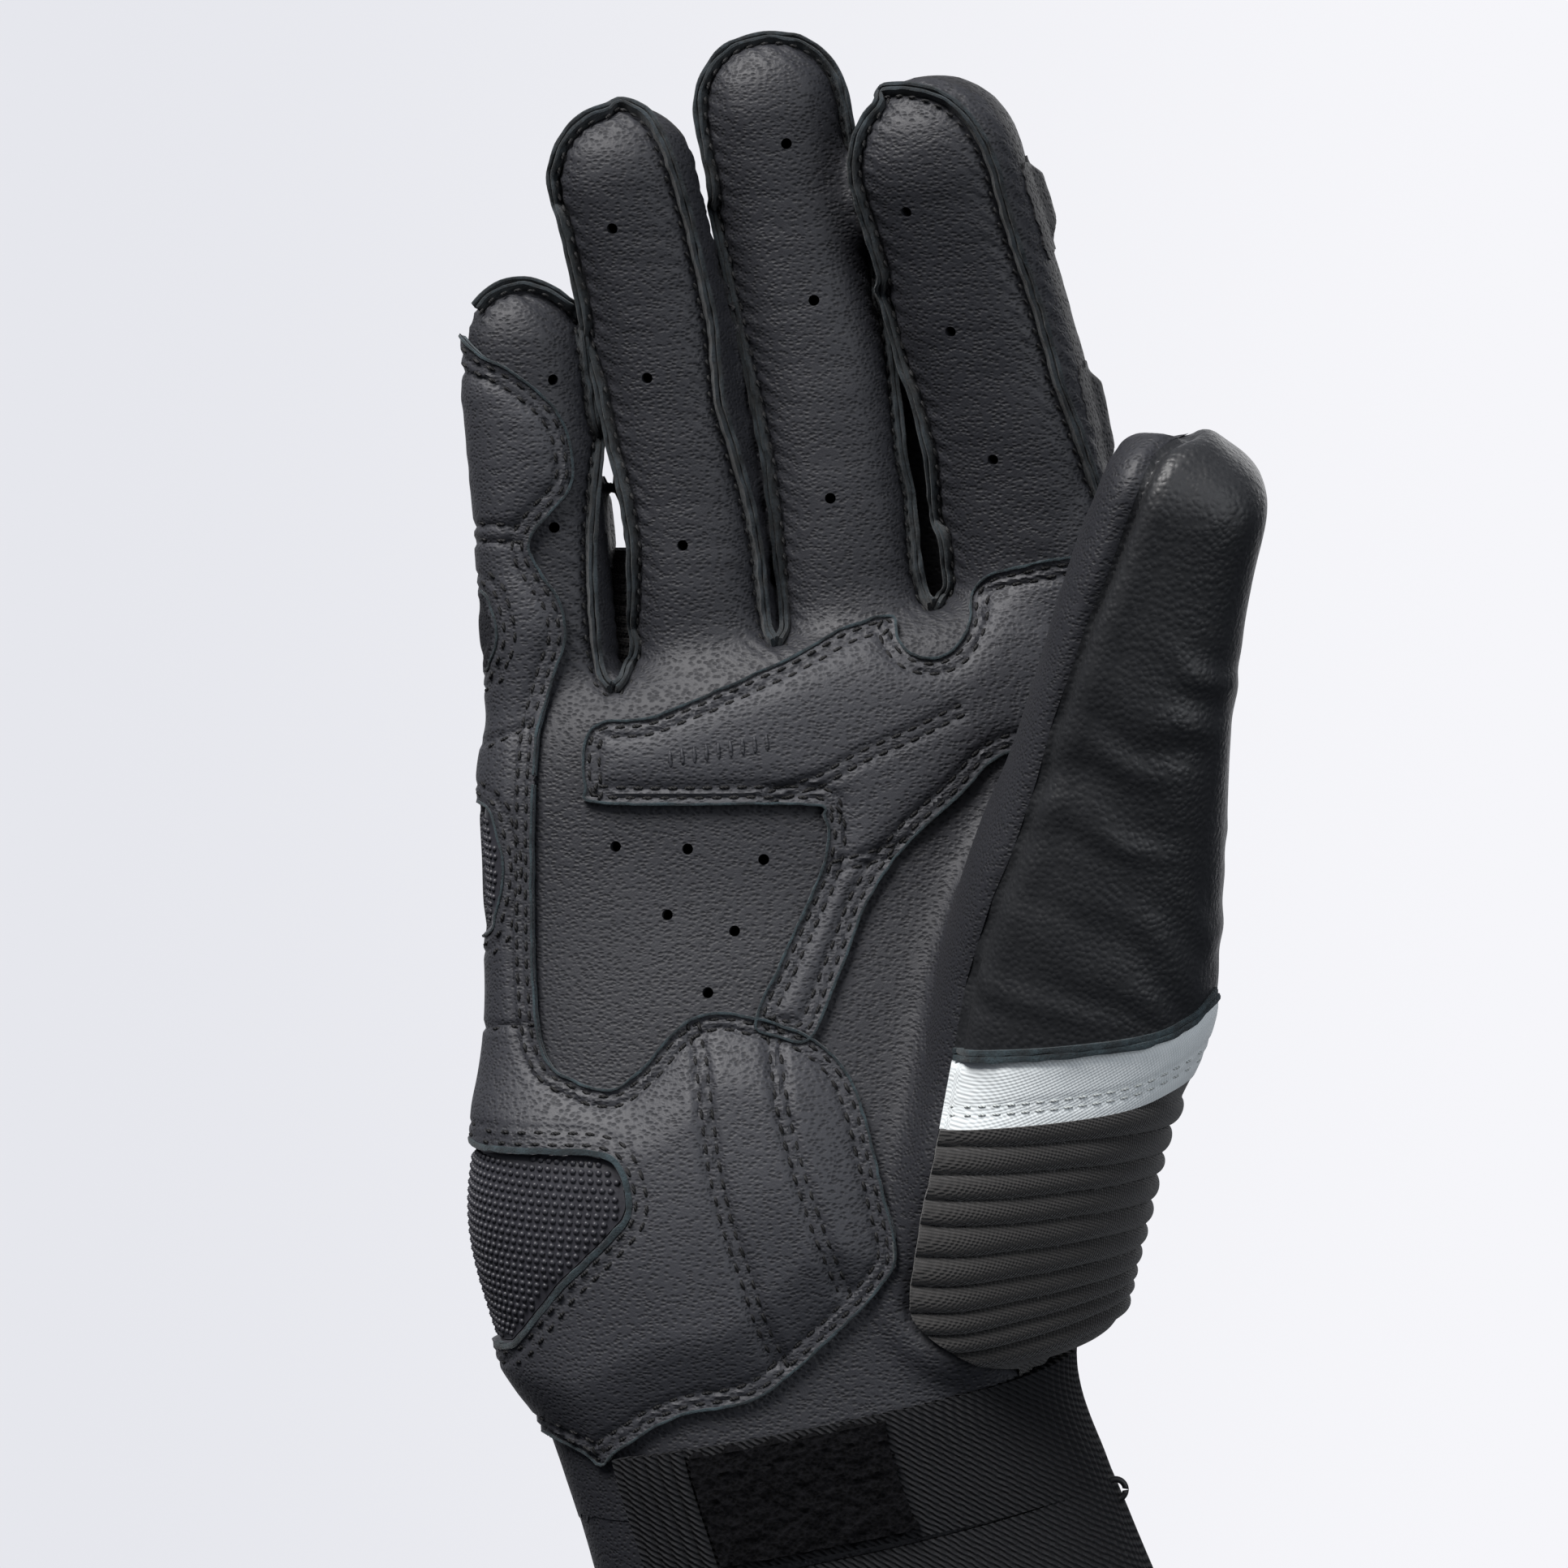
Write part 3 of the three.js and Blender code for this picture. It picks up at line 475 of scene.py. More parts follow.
def signed(points, outline):
    """How far points (x, z) or (x, y, z) lie inside a closed outline; negative outside it."""
    points = np.asarray(points, float)
    start = np.asarray(outline, float)
    step = np.roll(start, -1, axis=0) - start
    nearest = np.full(len(points), np.inf)
    odd = np.zeros(len(points), bool)
    for (x, z), (dx, dz) in zip(start, step):
        nearest = np.minimum(nearest, stretch_off(points, x, z, dx, dz))
        if dz:
            level = points[:, -1]
            odd ^= ((z > level) != (z + dz > level)) & (points[:, 0] - x < dx * (level - z) / dz)
    return np.where(odd, nearest, -nearest)


def off_line(points, line):
    """How far points (x, z) or (x, y, z) lie from an open line."""
    nearest = np.full(len(points), np.inf)
    for (x, z), (dx, dz) in zip(line[:-1], np.diff(line, axis=0)):
        nearest = np.minimum(nearest, stretch_off(points, x, z, dx, dz))
    return nearest


def grown(outline, by):
    """A closed outline moved outwards by a distance."""
    ahead = unit(np.roll(outline, -1, axis=0) - np.roll(outline, 1, axis=0))
    out = np.stack([ahead[:, 1], -ahead[:, 0]], axis=1)
    area = np.sum(outline[:, 0] * np.roll(outline[:, 1], -1) - np.roll(outline[:, 0], -1) * outline[:, 1])
    return outline + out * by * (1 if area > 0 else -1)


def shapes(grow=0):
    """The rings of the hand, the thumb and the fingers, larger all round by a distance."""
    made = {
        "hand": stations(hand_rows(), crown=PALM_CROWN, grow=grow),
        "thumb": stations(thumb_rows(), crown=THUMB_CROWN, foot=THUMB_FOOT, grow=grow),
    }
    for name in FINGERS:
        made[name] = stations(finger_rows(name), crown=tip_height(name), grow=grow)
    return made


PARTS = shapes()
HAND = PARTS["hand"]
SINK = 0.6  # the shapes are joined this much smaller, so that neighbouring fingers stay apart


def make_skin():
    """The glove's outer surface, evenly meshed, with soft joints between the hand, fingers and thumb."""
    parts = [lofted(name, rings, 96 if name == "hand" else 56) for name, rings in shapes(-SINK).items()]
    trees = [tree_of(part) for part in parts]
    whole = bmesh.new()
    for part in parts:
        whole.from_mesh(part.data)
    skin = thing_of(whole, "skin")
    drop(*parts)
    worked(skin, "REMESH", mode="VOXEL", voxel_size=VOXEL, adaptivity=0)
    relaxed(skin.data, 0.5, 3)
    spots = read(skin.data)
    facing = read(skin.data, "vertex_normals", "vector")
    nearest = np.array([[tree.find_nearest(spot, 14)[3] or 14 for tree in trees] for spot in spots])
    second = np.sort(nearest, axis=1)[:, 1]
    soft = np.clip(1 - second / 9, 0, 1) * np.clip(np.abs(facing[:, 1]) * 2 - 0.5, 0, 1)
    relaxed(skin.data, 0.6 * np.sqrt(soft), 30)
    relaxed(skin.data, 0.4, 2)
    facing = read(skin.data, "vertex_normals", "vector")
    write(skin.data, read(skin.data) + SINK * facing)
    return skin, np.argmin(nearest, axis=1)


skin, owner = make_skin()
SPOTS = read(skin.data)
OWNERS = list(PARTS)


skin_tree = tree_of(skin)


def local(points, name):
    """Places in a part's own frame: share of its half width and of its half depth."""
    rings = PARTS[name]
    tree = near_tree(rings)
    near = rings[[tree.find(point)[1] for point in points]]
    rel = points - near[:, :3]
    wide = np.sum(rel * near[:, 3:6], axis=1) / np.maximum(near[:, 6] / 2, 0.5)
    deep = np.sum(rel * near[:, 8:11], axis=1) / np.maximum(near[:, 7] / 2, 0.5)
    return wide, deep


# The camera's view: places in it are counted 1932 across and down
EYE = np.array([-26.28, -650, 163.92])
VIEW = 1932
PIXEL = 0.12


def ray(px, py):
    target = np.array([EYE[0] + (px - VIEW / 2) * PIXEL, 0, EYE[2] + (VIEW / 2 - py) * PIXEL])
    return target, unit(target - EYE)


def seen(places, only=None):
    """Points of the skin behind places of the view, with the skin's directions there."""
    rows = []
    own = finger_trees.get(only)
    for px, py in places:
        target, way = ray(px, py)
        hit, facing, _, _ = skin_tree.ray_cast(Vector(EYE), Vector(way))
        if only and target[2] > CROTCH_TOP[only]:
            hit, facing, _, _ = own.ray_cast(Vector(EYE), Vector(way))
            if hit is None:
                middle = PARTS[only][:, :3]
                close = middle[np.argmin(np.linalg.norm(np.cross(middle - EYE, way), axis=1))]
                guess = EYE + way * (close[1] - 4 - EYE[1]) / way[1]
                hit, facing, _, _ = own.find_nearest(Vector(guess))
        elif hit is None or (only and hit[1] > 6):
            guess = EYE + way * (-4 - EYE[1]) / way[1]
            hit, facing, _, _ = skin_tree.find_nearest(Vector(guess))
        rows.append([*hit, *facing])
    return np.array(rows)


finger_trees = {}
for name in FINGERS:
    digit = lofted("digit", PARTS[name], 64)
    finger_trees[name] = tree_of(digit)
    drop(digit)
# Heights above which a finger is looked up on its own shape, clear of its neighbours
CROTCH_TOP = {"little": 184, "ring": 190, "middle": 195, "index": 197}


def flat(places):
    """The same points as x and z only."""
    return seen(places)[:, [0, 2]]


# Lines of the leather, as places in the view
SEAMS = {
    "little": [
        (581, 374), (586, 362), (599, 352), (620, 341), (643, 336), (672, 345), (697, 363), (713, 388),
        (722, 423), (731, 481), (737, 531), (734, 573), (731, 613), (728, 672), (729, 730), (732, 780),
        (737, 820), (745, 842), (755, 849),
    ],
    "ring": [
        (757, 849), (767, 842), (776, 820), (783, 780), (782, 730), (781, 672), (772, 613), (757, 555),
        (748, 511), (739, 467), (728, 423), (716, 381), (707, 352), (695, 293), (685, 235), (678, 182),
        (686, 158), (704, 139), (725, 130), (745, 125), (775, 130), (798, 142), (818, 176), (828, 205),
        (845, 258), (860, 323), (877, 396), (886, 496), (904, 555), (924, 628), (934, 687), (939, 745),
        (944, 778), (956, 793),
    ],
    "middle": [
        (958, 793), (968, 778), (968, 745), (962, 687), (957, 643), (947, 569), (933, 496), (918, 423),
        (900, 337), (884, 264), (868, 191), (857, 132), (855, 97), (866, 65), (892, 42), (935, 33),
        (980, 36), (1007, 56), (1031, 78), (1044, 111), (1050, 150), (1058, 230), (1070, 300), (1083, 367),
        (1097, 460), (1109, 560), (1119, 610), (1125, 677), (1129, 710), (1137, 738), (1148, 748),
    ],
    "index": [
        (1151, 748), (1163, 738), (1166, 710), (1159, 667), (1153, 619), (1147, 560), (1129, 490),
        (1115, 450), (1097, 383), (1077, 324), (1056, 265), (1041, 205), (1041, 164), (1050, 132),
        (1073, 116), (1109, 109), (1139, 112), (1168, 124), (1194, 147), (1212, 176), (1224, 205),
        (1235, 249), (1253, 308), (1279, 381), (1306, 480), (1324, 524), (1338, 568), (1353, 612),
        (1356, 644),
    ],
}
THUMB_LINE = [
    (1491, 526), (1470, 530), (1444, 541), (1426, 555), (1411, 583), (1398, 618), (1383, 659),
    (1363, 715), (1340, 767), (1318, 832), (1297, 891), (1277, 965), (1247, 1053), (1224, 1105),
    (1203, 1170), (1190, 1215), (1179, 1278), (1159, 1385), (1147, 1447), (1136, 1491), (1128, 1545),
    (1121, 1590), (1121, 1621), (1139, 1644), (1177, 1670), (1212, 1685), (1256, 1687),
]
CHANNELS = [
    [(848, 1264), (858, 1310), (866, 1380), (874, 1440), (890, 1510), (912, 1570), (927, 1620),
     (940, 1650), (955, 1680)],
    [(944, 1262), (951, 1320), (958, 1370), (968, 1410), (982, 1460), (1003, 1520), (1032, 1590)],
]
PALM_DOUBLES = [
    [(950, 975), (1010, 955), (1062, 925), (1120, 900), (1180, 870)],
    [(1030, 1061), (1085, 1046), (1140, 1029)],
]
HOLES = [
    (754, 282), (797, 466), (841, 672), (969, 177), (1003, 370), (1023, 614), (1116, 262), (1171, 409),
    (1223, 567), (682, 468), (683, 650), (758, 1043), (847, 1046), (941, 1059), (822, 1127),
    (905, 1147), (872, 1223),
]
CROSS_SEAMS = [[(585, 648), (640, 648)], [(585, 668), (640, 668)], [(592, 915), (655, 895)],
               [(605, 1265), (655, 1262)], [(680, 1755), (718, 1784), (760, 1810)]]


def smooth_outline(shares, count=400, rough=0.12):
    """A named outline as x and z, smooth, with the slight wobble of a hand-cut edge."""
    line = eased(sized(shares), count, loop=True)
    spots = np.column_stack([line[:, 0], np.zeros(count), line[:, 1]])
    out = unit(np.roll(line, -1, axis=0) - np.roll(line, 1, axis=0))
    return line + np.stack([out[:, 1], -out[:, 0]], axis=1) * mottle(spots, 1.6, 3.3)[:, None] * rough


def prism(name, outline, near=NEAR, far=FAR):
    """A flat outline carried through from front to back."""
    bm = bmesh.new()
    count = len(outline)
    bmesh.ops.create_cone(bm, cap_ends=True, segments=count, radius1=1, radius2=1, depth=2)
    for vert in bm.verts:
        index = round(math.atan2(vert.co.y, vert.co.x) / (2 * math.pi) * count) % count
        x, z = outline[index]
        vert.co = (x, near if vert.co.z < 0 else far, z)
    bmesh.ops.recalc_face_normals(bm, faces=bm.faces)
    return thing_of(bm, name)


def below_hem():
    """Everything within 60 mm below the hem."""
    bm = bmesh.new()
    bmesh.ops.create_cube(bm, size=1)
    height = 60 * math.cos(CUFF_LEAN - math.radians(CUFF_TILT))
    bmesh.ops.scale(bm, verts=bm.verts, vec=(300, 300, height))
    bmesh.ops.rotate(bm, verts=bm.verts, matrix=Matrix.Rotation(-math.radians(CUFF_TILT), 3, "Y"))
    bmesh.ops.translate(bm, verts=bm.verts, vec=forearm * -60 / 2)
    return thing_of(bm, "hem")


def trim(piece, outline, near=NEAR, far=FAR, operation="DIFFERENCE"):
    """Cuts a piece by an outline carried from front to back."""
    shape = prism("shape", outline, near, far)
    cut(piece, shape, operation)
    drop(shape)


def finished(thing, angle=42):
    """Faces outwards and round shading, with edges sharper than the angle left crisp."""
    shape = bmesh.new()
    shape.from_mesh(thing.data)
    if shape.calc_volume(signed=True) < 0:
        bmesh.ops.reverse_faces(shape, faces=shape.faces)
        shape.to_mesh(thing.data)
    shape.free()
    thing.data.shade_smooth()
    thing.data.set_sharp_from_angle(angle=math.radians(angle))
    return thing


def sheet(name, keep, thick, levels=0, relief=None):
    """A wall cut out of the skin where keep is true, moved by the relief and thickened inwards."""
    bm = bmesh.new()
    bm.from_mesh(skin.data)
    bm.verts.ensure_lookup_table()
    kept = [bool(value) for value in keep]
    gone = [face for face in bm.faces if sum(kept[vert.index] for vert in face.verts) < 2]
    bmesh.ops.delete(bm, geom=gone, context="FACES")
    while True:
        pinched = [vert for vert in bm.verts if sum(edge.is_boundary for edge in vert.link_edges) > 2]
        if not pinched:
            break
        bmesh.ops.delete(bm, geom=pinched, context="VERTS")
    loose = [vert for vert in bm.verts if not vert.link_faces]
    bmesh.ops.delete(bm, geom=loose, context="VERTS")
    made = thing_of(bm, name)
    if levels:
        worked(made, "SUBSURF", levels=levels, render_levels=levels)
    if relief:
        spots = read(made.data)
        facing = read(made.data, "vertex_normals", "vector")
        write(made.data, spots + facing * relief(spots)[:, None])
    if thick:
        worked(made, "SOLIDIFY", thickness=thick, offset=-1)
    return made


def walls(thing, outlines):
    """Gives the cut edges along outlines the piece's second material."""
    middles = np.array([face.center[:] for face in thing.data.polygons])
    facing = np.array([face.normal[:] for face in thing.data.polygons])
    edge = np.zeros(len(middles), bool)
    for outline in outlines:
        edge |= (np.abs(signed(middles, outline)) < 0.05) & (np.abs(facing[:, 1]) < 0.35)
    thing.data.polygons.foreach_set("material_index", edge.astype(np.int32))


def grow_mask(mask, rounds=1):
    """A mask that also takes in the neighbours, so that pieces meet without a gap."""
    one, other = edge_ends(skin.data)
    for _ in range(rounds):
        wider = mask.copy()
        wider[one] |= mask[other]
        wider[other] |= mask[one]
        mask = wider
    return mask


# Where things are on the skin
is_thumb = owner == OWNERS.index("thumb")
near_thumb = grow_mask(is_thumb, 3)
hem_tilt = math.radians(CUFF_TILT)
tilted_up = (SPOTS - wrist) @ np.array([-math.sin(hem_tilt), 0, math.cos(hem_tilt)])
CUFF_UP = CUFF_LENGTH + tilted_up / math.cos(CUFF_LEAN - hem_tilt)
front = np.zeros(len(SPOTS), bool)
for index, part in enumerate(OWNERS):
    mine = owner == index
    _, deep = local(SPOTS[mine], part)
    front[mine] = deep > (0.0 if part in ("hand", "thumb") else 0.3)

thumb_seam = spaced(flat(THUMB_LINE), 1.2)
seam_end = thumb_seam[-1]
right_side = np.vstack([
    [[70, 240], [thumb_seam[0][0] + 2, 240]], thumb_seam, [[seam_end[0] + 1, 55], [70, 55]],
])
front |= is_thumb & (signed(SPOTS, right_side) < 1.5) & (SPOTS[:, 1] < 0)
outer_line = smooth_outline(OUTER_OUTLINE)
palm_line = smooth_outline(PALM_OUTLINE)
heel_line = smooth_outline(HEEL_WINDOW, 200)
mid_line = smooth_outline(MID_WINDOW, 120)
upper_line = smooth_outline(UPPER_WINDOW, 120)
windows = [heel_line, mid_line, upper_line]
stripe_top = eased(sized(STRIPE_TOP), 60)
stripe_foot = eased(sized(STRIPE_FOOT), 60)
channels = [flat(line) for line in CHANNELS]
channels += [line + np.array([1.6, 0]) for line in channels]
palm_doubles = [flat(line) for line in PALM_DOUBLES]
palm_doubles += [line + np.array([0.4, -1.5]) for line in palm_doubles]
cross_seams = [flat(line) for line in CROSS_SEAMS]


def over(line):
    """A closed outline of everything above an open line that runs from left to right."""
    right, left = line[-1] + [60, 0], line[0] + [-20, 0]
    return np.vstack([line, [right, right + [0, 100], left + [0, 100], left]])


def ramp(values, low, high):
    """0 at the first value and 1 at the second, eased between; the first may be the higher one."""
    share = np.clip((values - low) / (high - low), 0, 1)
    return share * share * (3 - 2 * share)


def dip(distance, width):
    """1 on a line, and next to nothing two widths away from it."""
    return np.exp(-((distance / width) ** 2))


seam_paths = {}
for name, places in SEAMS.items():
    rows = seen(spaced(places, 6), name)
    for _ in range(2):
        rows[1:-1, 3:] = (rows[:-2, 3:] + rows[1:-1, 3:] + rows[2:, 3:]) / 3
        rows[1:-1, :3] = (rows[:-2, :3] + 2 * rows[1:-1, :3] + rows[2:, :3]) / 4
    seam_paths[name] = rows
thumb_tree = near_tree(SPOTS[is_thumb])
seam_tree = near_tree(np.vstack(list(seam_paths.values())))


def away_from(tree, points):
    """How far points lie from the nearest place in a tree."""
    return np.array([tree.find(point)[2] for point in points])


def folds(points):
    """Height of the soft folds and dents of worn leather."""
    swell = 0.3 * mottle(points, 17, 1.7) + 0.07 * mottle(points, 7, 5.1)
    stretched = points * np.array([0.45, 0.45, 1.6])
    ripples = 0.08 * mottle(stretched, 3.2, 7.7) * ramp(points[:, 2], 165, 190)
    return swell + ripples


def heel_bulge(points):
    """The padded heel of the hand, with its sewn channels."""
    inside = signed(points, grown(outer_line, -2.6))
    low = ramp(points[:, 2], 138, 122) * ramp(points[:, 1], 4, -6)
    height = 2.0 * ramp(inside, 0, 9) * low
    for line in channels:
        height -= 0.85 * dip(off_line(points, line), 0.62) * low
    return height


def rows_inside(points, outline):
    """Sewn rows inside an outline: the leather sinks along them and swells between."""
    inside = signed(points, outline)
    height = -0.3 * dip(inside, 0.5)
    for step in EDGE_ROWS:
        height -= 0.62 * dip(inside - step, 0.5)
    return height + 0.35 * ramp(inside, EDGE_ROWS[-1], 6)


def thumb_groove(points):
    """The leather sinks at the thumb's seam and swells beside it."""
    away = off_line(points, thumb_seam)
    return ramp(points[:, 1], 4, -4) * (0.5 * dip(away - 3, 1.8) - 1.5 * dip(away, 0.9))


def body_relief(points):
    """Folds, gathered leather that sinks to the fingers' seams, and the thumb seam's groove."""
    height = folds(points)
    distance = away_from(seam_tree, points)
    beat = np.sin(points[:, 2] * 2.6 + 2.1 * points[:, 0]) * dip(distance - 2.4, 1.8) * 0.14
    height += beat - 0.55 * dip(distance, 1.3)
    return height + thumb_groove(points)


def thumb_relief(points):
    """Folds, two bands of creases, the seam's groove, and a step down where it runs under the palm."""
    height = 0.3 * mottle(points, 17, 4.2) + 0.1 * mottle(points, 7, 8.1)
    slanted = points @ np.array([0.35, 0.15, 0.92])
    band = ramp(points[:, 2], 150, 158) * ramp(points[:, 2], 186, 176)
    wander = mottle(points, 9, 6.6)
    height += 0.34 * band * np.sin(slanted * 0.8 + 3.2 * wander) * ramp(mottle(points, 13, 2.4), -0.5, 0.6)
    lower = ramp(points[:, 2], 128, 134) * ramp(points[:, 2], 152, 145)
    height += 0.18 * lower * np.sin(points @ np.array([0.7, 0.1, 0.75]) * 0.7 + 3 * wander)
    height += thumb_groove(points)
    return height - 0.45 * ramp(away_from(thumb_tree, points), 0.8, 1.6)


# The glove's own panels
def make_panels():
    """The palm's side, the back and the cuff. The back lies a touch lower, so that they lap."""
    past = signed(SPOTS, right_side)
    cuff_zone = (CUFF_UP < WRIST_STRAP_UP) & ~is_thumb
    seam_block = prism("seam_block", right_side)
    bulk = lofted("bulk", shapes(3)["thumb"], 64)
    cut(seam_block, bulk, "INTERSECT")
    palm_zone = front & ~cuff_zone & ~(near_thumb & (past > 1.5))
    palm = sheet("palm_leather", palm_zone, LEATHER, 1, body_relief)
    cut(palm, seam_block)
    drop(seam_block)

    def lower(points):
        return body_relief(points) - 0.15

    back_zone = grow_mask(~front & ~cuff_zone & ~is_thumb, 1)
    back = sheet("back_leather", back_zone, LEATHER, 0, lower)
    cuff_wall = sheet("cuff_leather", grow_mask(cuff_zone & (CUFF_UP > -6)), LEATHER, 0, lower)
    hem = below_hem()
    cut(cuff_wall, hem)
    drop(hem)
    return palm, back, cuff_wall, bulk


def overlay_relief(outline, lift, windows=()):
    """Leather sewn on top, with sunken rows inside its edge and outside its windows."""

    def relief(points):
        height = lift + folds(points) + heel_bulge(points) + rows_inside(points, outline)
        for window in windows:
            outside = -signed(points, window)
            sewn = sum((0.3 * dip(outside - row, 0.45) for row in WINDOW_ROWS), 0.3 * dip(outside, 0.5))
            height -= ramp(points[:, 1], 8, 0) * sewn
        for line in palm_doubles + cross_seams:
            height -= 0.5 * dip(off_line(points, line), 0.5)
        return height

    return relief


def make_overlays(bulk):
    """The outer overlay with its windows, and the palm's, cut back for the outer one and the thumb."""
    zone = (signed(SPOTS, outer_line) > -MARGIN) & (SPOTS[:, 1] < OVERLAY_BACK + 3) & ~is_thumb
    relief = overlay_relief(outer_line, OVERLAY, windows)
    outer = sheet("outer_overlay_leather", zone, OVERLAY + 0.5, 1, relief)
    trim(outer, outer_line, far=OVERLAY_BACK, operation="INTERSECT")
    for window in windows:
        trim(outer, window, far=WINDOW_BACK)
    walls(outer, [outer_line, *windows])
    zone = (signed(SPOTS, palm_line) > -MARGIN) & (SPOTS[:, 1] < 0)
    palm = sheet("palm_overlay_leather", zone, OVERLAY + 0.5, 1, overlay_relief(palm_line, OVERLAY))
    trim(palm, palm_line, far=2, operation="INTERSECT")
    trim(palm, grown(outer_line, GAP))
    cut(palm, bulk)
    walls(palm, [palm_line])
    return outer, palm


# Straps: bands that follow the cuff's rounded section


def on_cuff(turn, up, lift):
    """A point round the cuff: turn 90 faces forward, up runs along the forearm from the hem."""
    low = int(np.clip(np.searchsorted(CUFF_PLACES, up) - 1, 0, len(CUFF_PLACES) - 2))
    share = (up - CUFF_PLACES[low]) / (CUFF_PLACES[low + 1] - CUFF_PLACES[low])
    ring = HAND[low] + (HAND[low + 1] - HAND[low]) * share
    spot = rim(ring, turn)
    step = rim(ring, turn + 0.02) - rim(ring, turn - 0.02)
    out = unit(np.cross(forearm, step))
    return spot + out * lift


CUFF_PLACES = run_of(HAND[:, :3]) + HAND[0, :3] @ forearm


def turns_between(start, stop, up, step):
    """Turns whose points lie an even step apart round the cuff."""
    fine = np.linspace(start, stop, 600)
    spots = np.array([on_cuff(turn, up, 0) for turn in fine])
    along = run_of(spots)
    even = np.linspace(0, along[-1], int(along[-1] / step) + 1)
    return np.interp(even, along, fine), even


def standing(spot):
    """A place of a surface and its facing, as a matrix whose Z points outwards."""
    turned = Vector((0, 0, 1)).rotation_difference(Vector(spot[3:6])).to_matrix().to_4x4()
    return Matrix.Translation(spot[:3]) @ turned


def make_grips():
    """Rubber in the overlay's windows, with rows of round studs that follow its swell."""
    made = {}
    for name, outline in zip(("heel", "side_mid", "side_upper"), windows):
        zone = (signed(SPOTS, outline) > -MARGIN) & (SPOTS[:, 1] < 6)

        def relief(points):
            swell = GRIP - 0.35 + heel_bulge(points) * 0.9 + folds(points) * 0.6
            return swell - 0.3 * dip(signed(points, outline), 0.8)

        grip = sheet("grip_" + name + "_rubber", zone, GRIP, 0, relief)
        trim(grip, grown(outline, -0.15), far=WINDOW_BACK - 0.2, operation="INTERSECT")
        studs = bmesh.new()
        studs.from_mesh(grip.data)
        tree = BVHTree.FromBMesh(studs)
        spots = read(grip.data)
        low, high = spots.min(axis=0)[2], spots.max(axis=0)[2]
        for row in range(int((high - low + 6) / STUD_ROWS)):
            place = low + STUD_ROWS * row
            hits = []
            core = Vector((*STUD_CORE, place))
            for turn in STUD_TURNS:
                way = Vector((math.cos(turn), math.sin(turn), 0.12 * math.sin(turn)))
                hit, facing, _, _ = tree.ray_cast(core + way * 80, -way)
                if hit is not None and facing.dot(way) > 0.15:
                    hits.append([*hit, *facing])
            if len(hits) < 3:
                continue
            beads = spaced(np.array(hits), STUD_PITCH)
            if row % 2:
                beads = (beads[1:] + beads[:-1]) / 2
            for spot in beads:
                inside = signed([spot[:3]], outline)[0]
                if inside < 0.7 or spot[1] > 1.8:
                    continue
                matrix = standing(spot) @ Matrix.Diagonal(STUD_SIZE)
                bmesh.ops.create_icosphere(studs, subdivisions=1, radius=1, matrix=matrix)
        drop(grip)
        made[name] = finished(thing_of(studs, "grip_" + name + "_rubber"), 50)
    return made


def make_thumb():
    """The thumb's right side: smooth leather above, a pale stripe, and the ribbed base."""
    past = signed(SPOTS, right_side)
    keep = (grow_mask(is_thumb, 7) & (past > -3)) | grow_mask(is_thumb & ~front, 2)
    top = prism("above_stripe", over(stripe_top))
    foot = prism("above_foot", over(stripe_foot))
    high = SPOTS[:, 2]
    wall = sheet("thumb_leather", keep & (high > 122), LEATHER, 1, thumb_relief)
    cut(wall, top, "INTERSECT")
    left_side = [[seam_end[0] + 1, 40], [-80, 40], [-80, 260], [thumb_seam[0][0] + 2, 260]]
    front_cut = prism("front_cut", np.vstack([thumb_seam, left_side]), NEAR, 0)
    cut(wall, front_cut)

    def stripe_relief(points):
        groove = dip(off_line(points, thumb_seam), 0.9)
        height = 0.25 + 0.12 * mottle(points, 9, 3.3) - 0.9 * ramp(points[:, 1], 4, -4) * groove
        above_foot = off_line(points, stripe_foot)
        height -= sum(0.18 * dip(above_foot - row, 0.4) for row in STRIPE_ROWS)
        return height - 0.5 * dip(off_line(points, stripe_top), 0.7)

    stripe = sheet("stripe_cloth", keep & (high > 108) & (high < 142), LEATHER, 1, stripe_relief)
    cut(stripe, foot, "INTERSECT")
    cut(stripe, top)
    cut(stripe, front_cut)
    ribs = sheet("ribbed_cloth", keep & (high < 132), 1.2, 2, rib_relief)
    cut(ribs, foot)
    cut(ribs, front_cut)
    drop(top, foot, front_cut)
    return wall, stripe, ribs


RIBS_LEFT = [(-3.6, 117.2), (-4.3, 113.1), (-5.6, 109.1), (-6.2, 105.4), (-6.8, 101.7), (-7.8, 97.2),
             (-8, 92.8), (-8.1, 88.8), (-5.1, 85.8), (-2, 83.4), (0, 81)]
RIBS_RIGHT = [(29, 119.6), (28.1, 115.6), (27.2, 111.7), (26, 108.5), (25, 104.7), (24.9, 101.3),
              (24.2, 98.1), (23.7, 95.2), (23.4, 93), (22.8, 90.7), (22, 88)]


def rib_relief(points):
    """Rounded ribs between grooves that curve up towards the thumb's outer side."""
    lines = []
    for (x0, z0), (x1, z1) in zip(RIBS_LEFT, RIBS_RIGHT):
        share = np.clip((points[:, 0] - x0) / (x1 - x0), 0, 1.05)
        lines.append(z0 + (z1 - z0) * share**1.35)
    phase = np.zeros(len(points))
    for upper, lower in zip(lines[:-1], lines[1:]):
        phase += np.clip((upper - points[:, 2]) / np.maximum(upper - lower, 0.5), 0, 1)
    phase += 0.05 * mottle(points, 7, 9.1)
    share = phase % 1
    rounded = np.sqrt(np.clip(1 - (2 * share - 1) ** 2, 0, 1))
    return 1.45 * rounded - 0.35 + 0.2 * mottle(points, 8, 1.1)


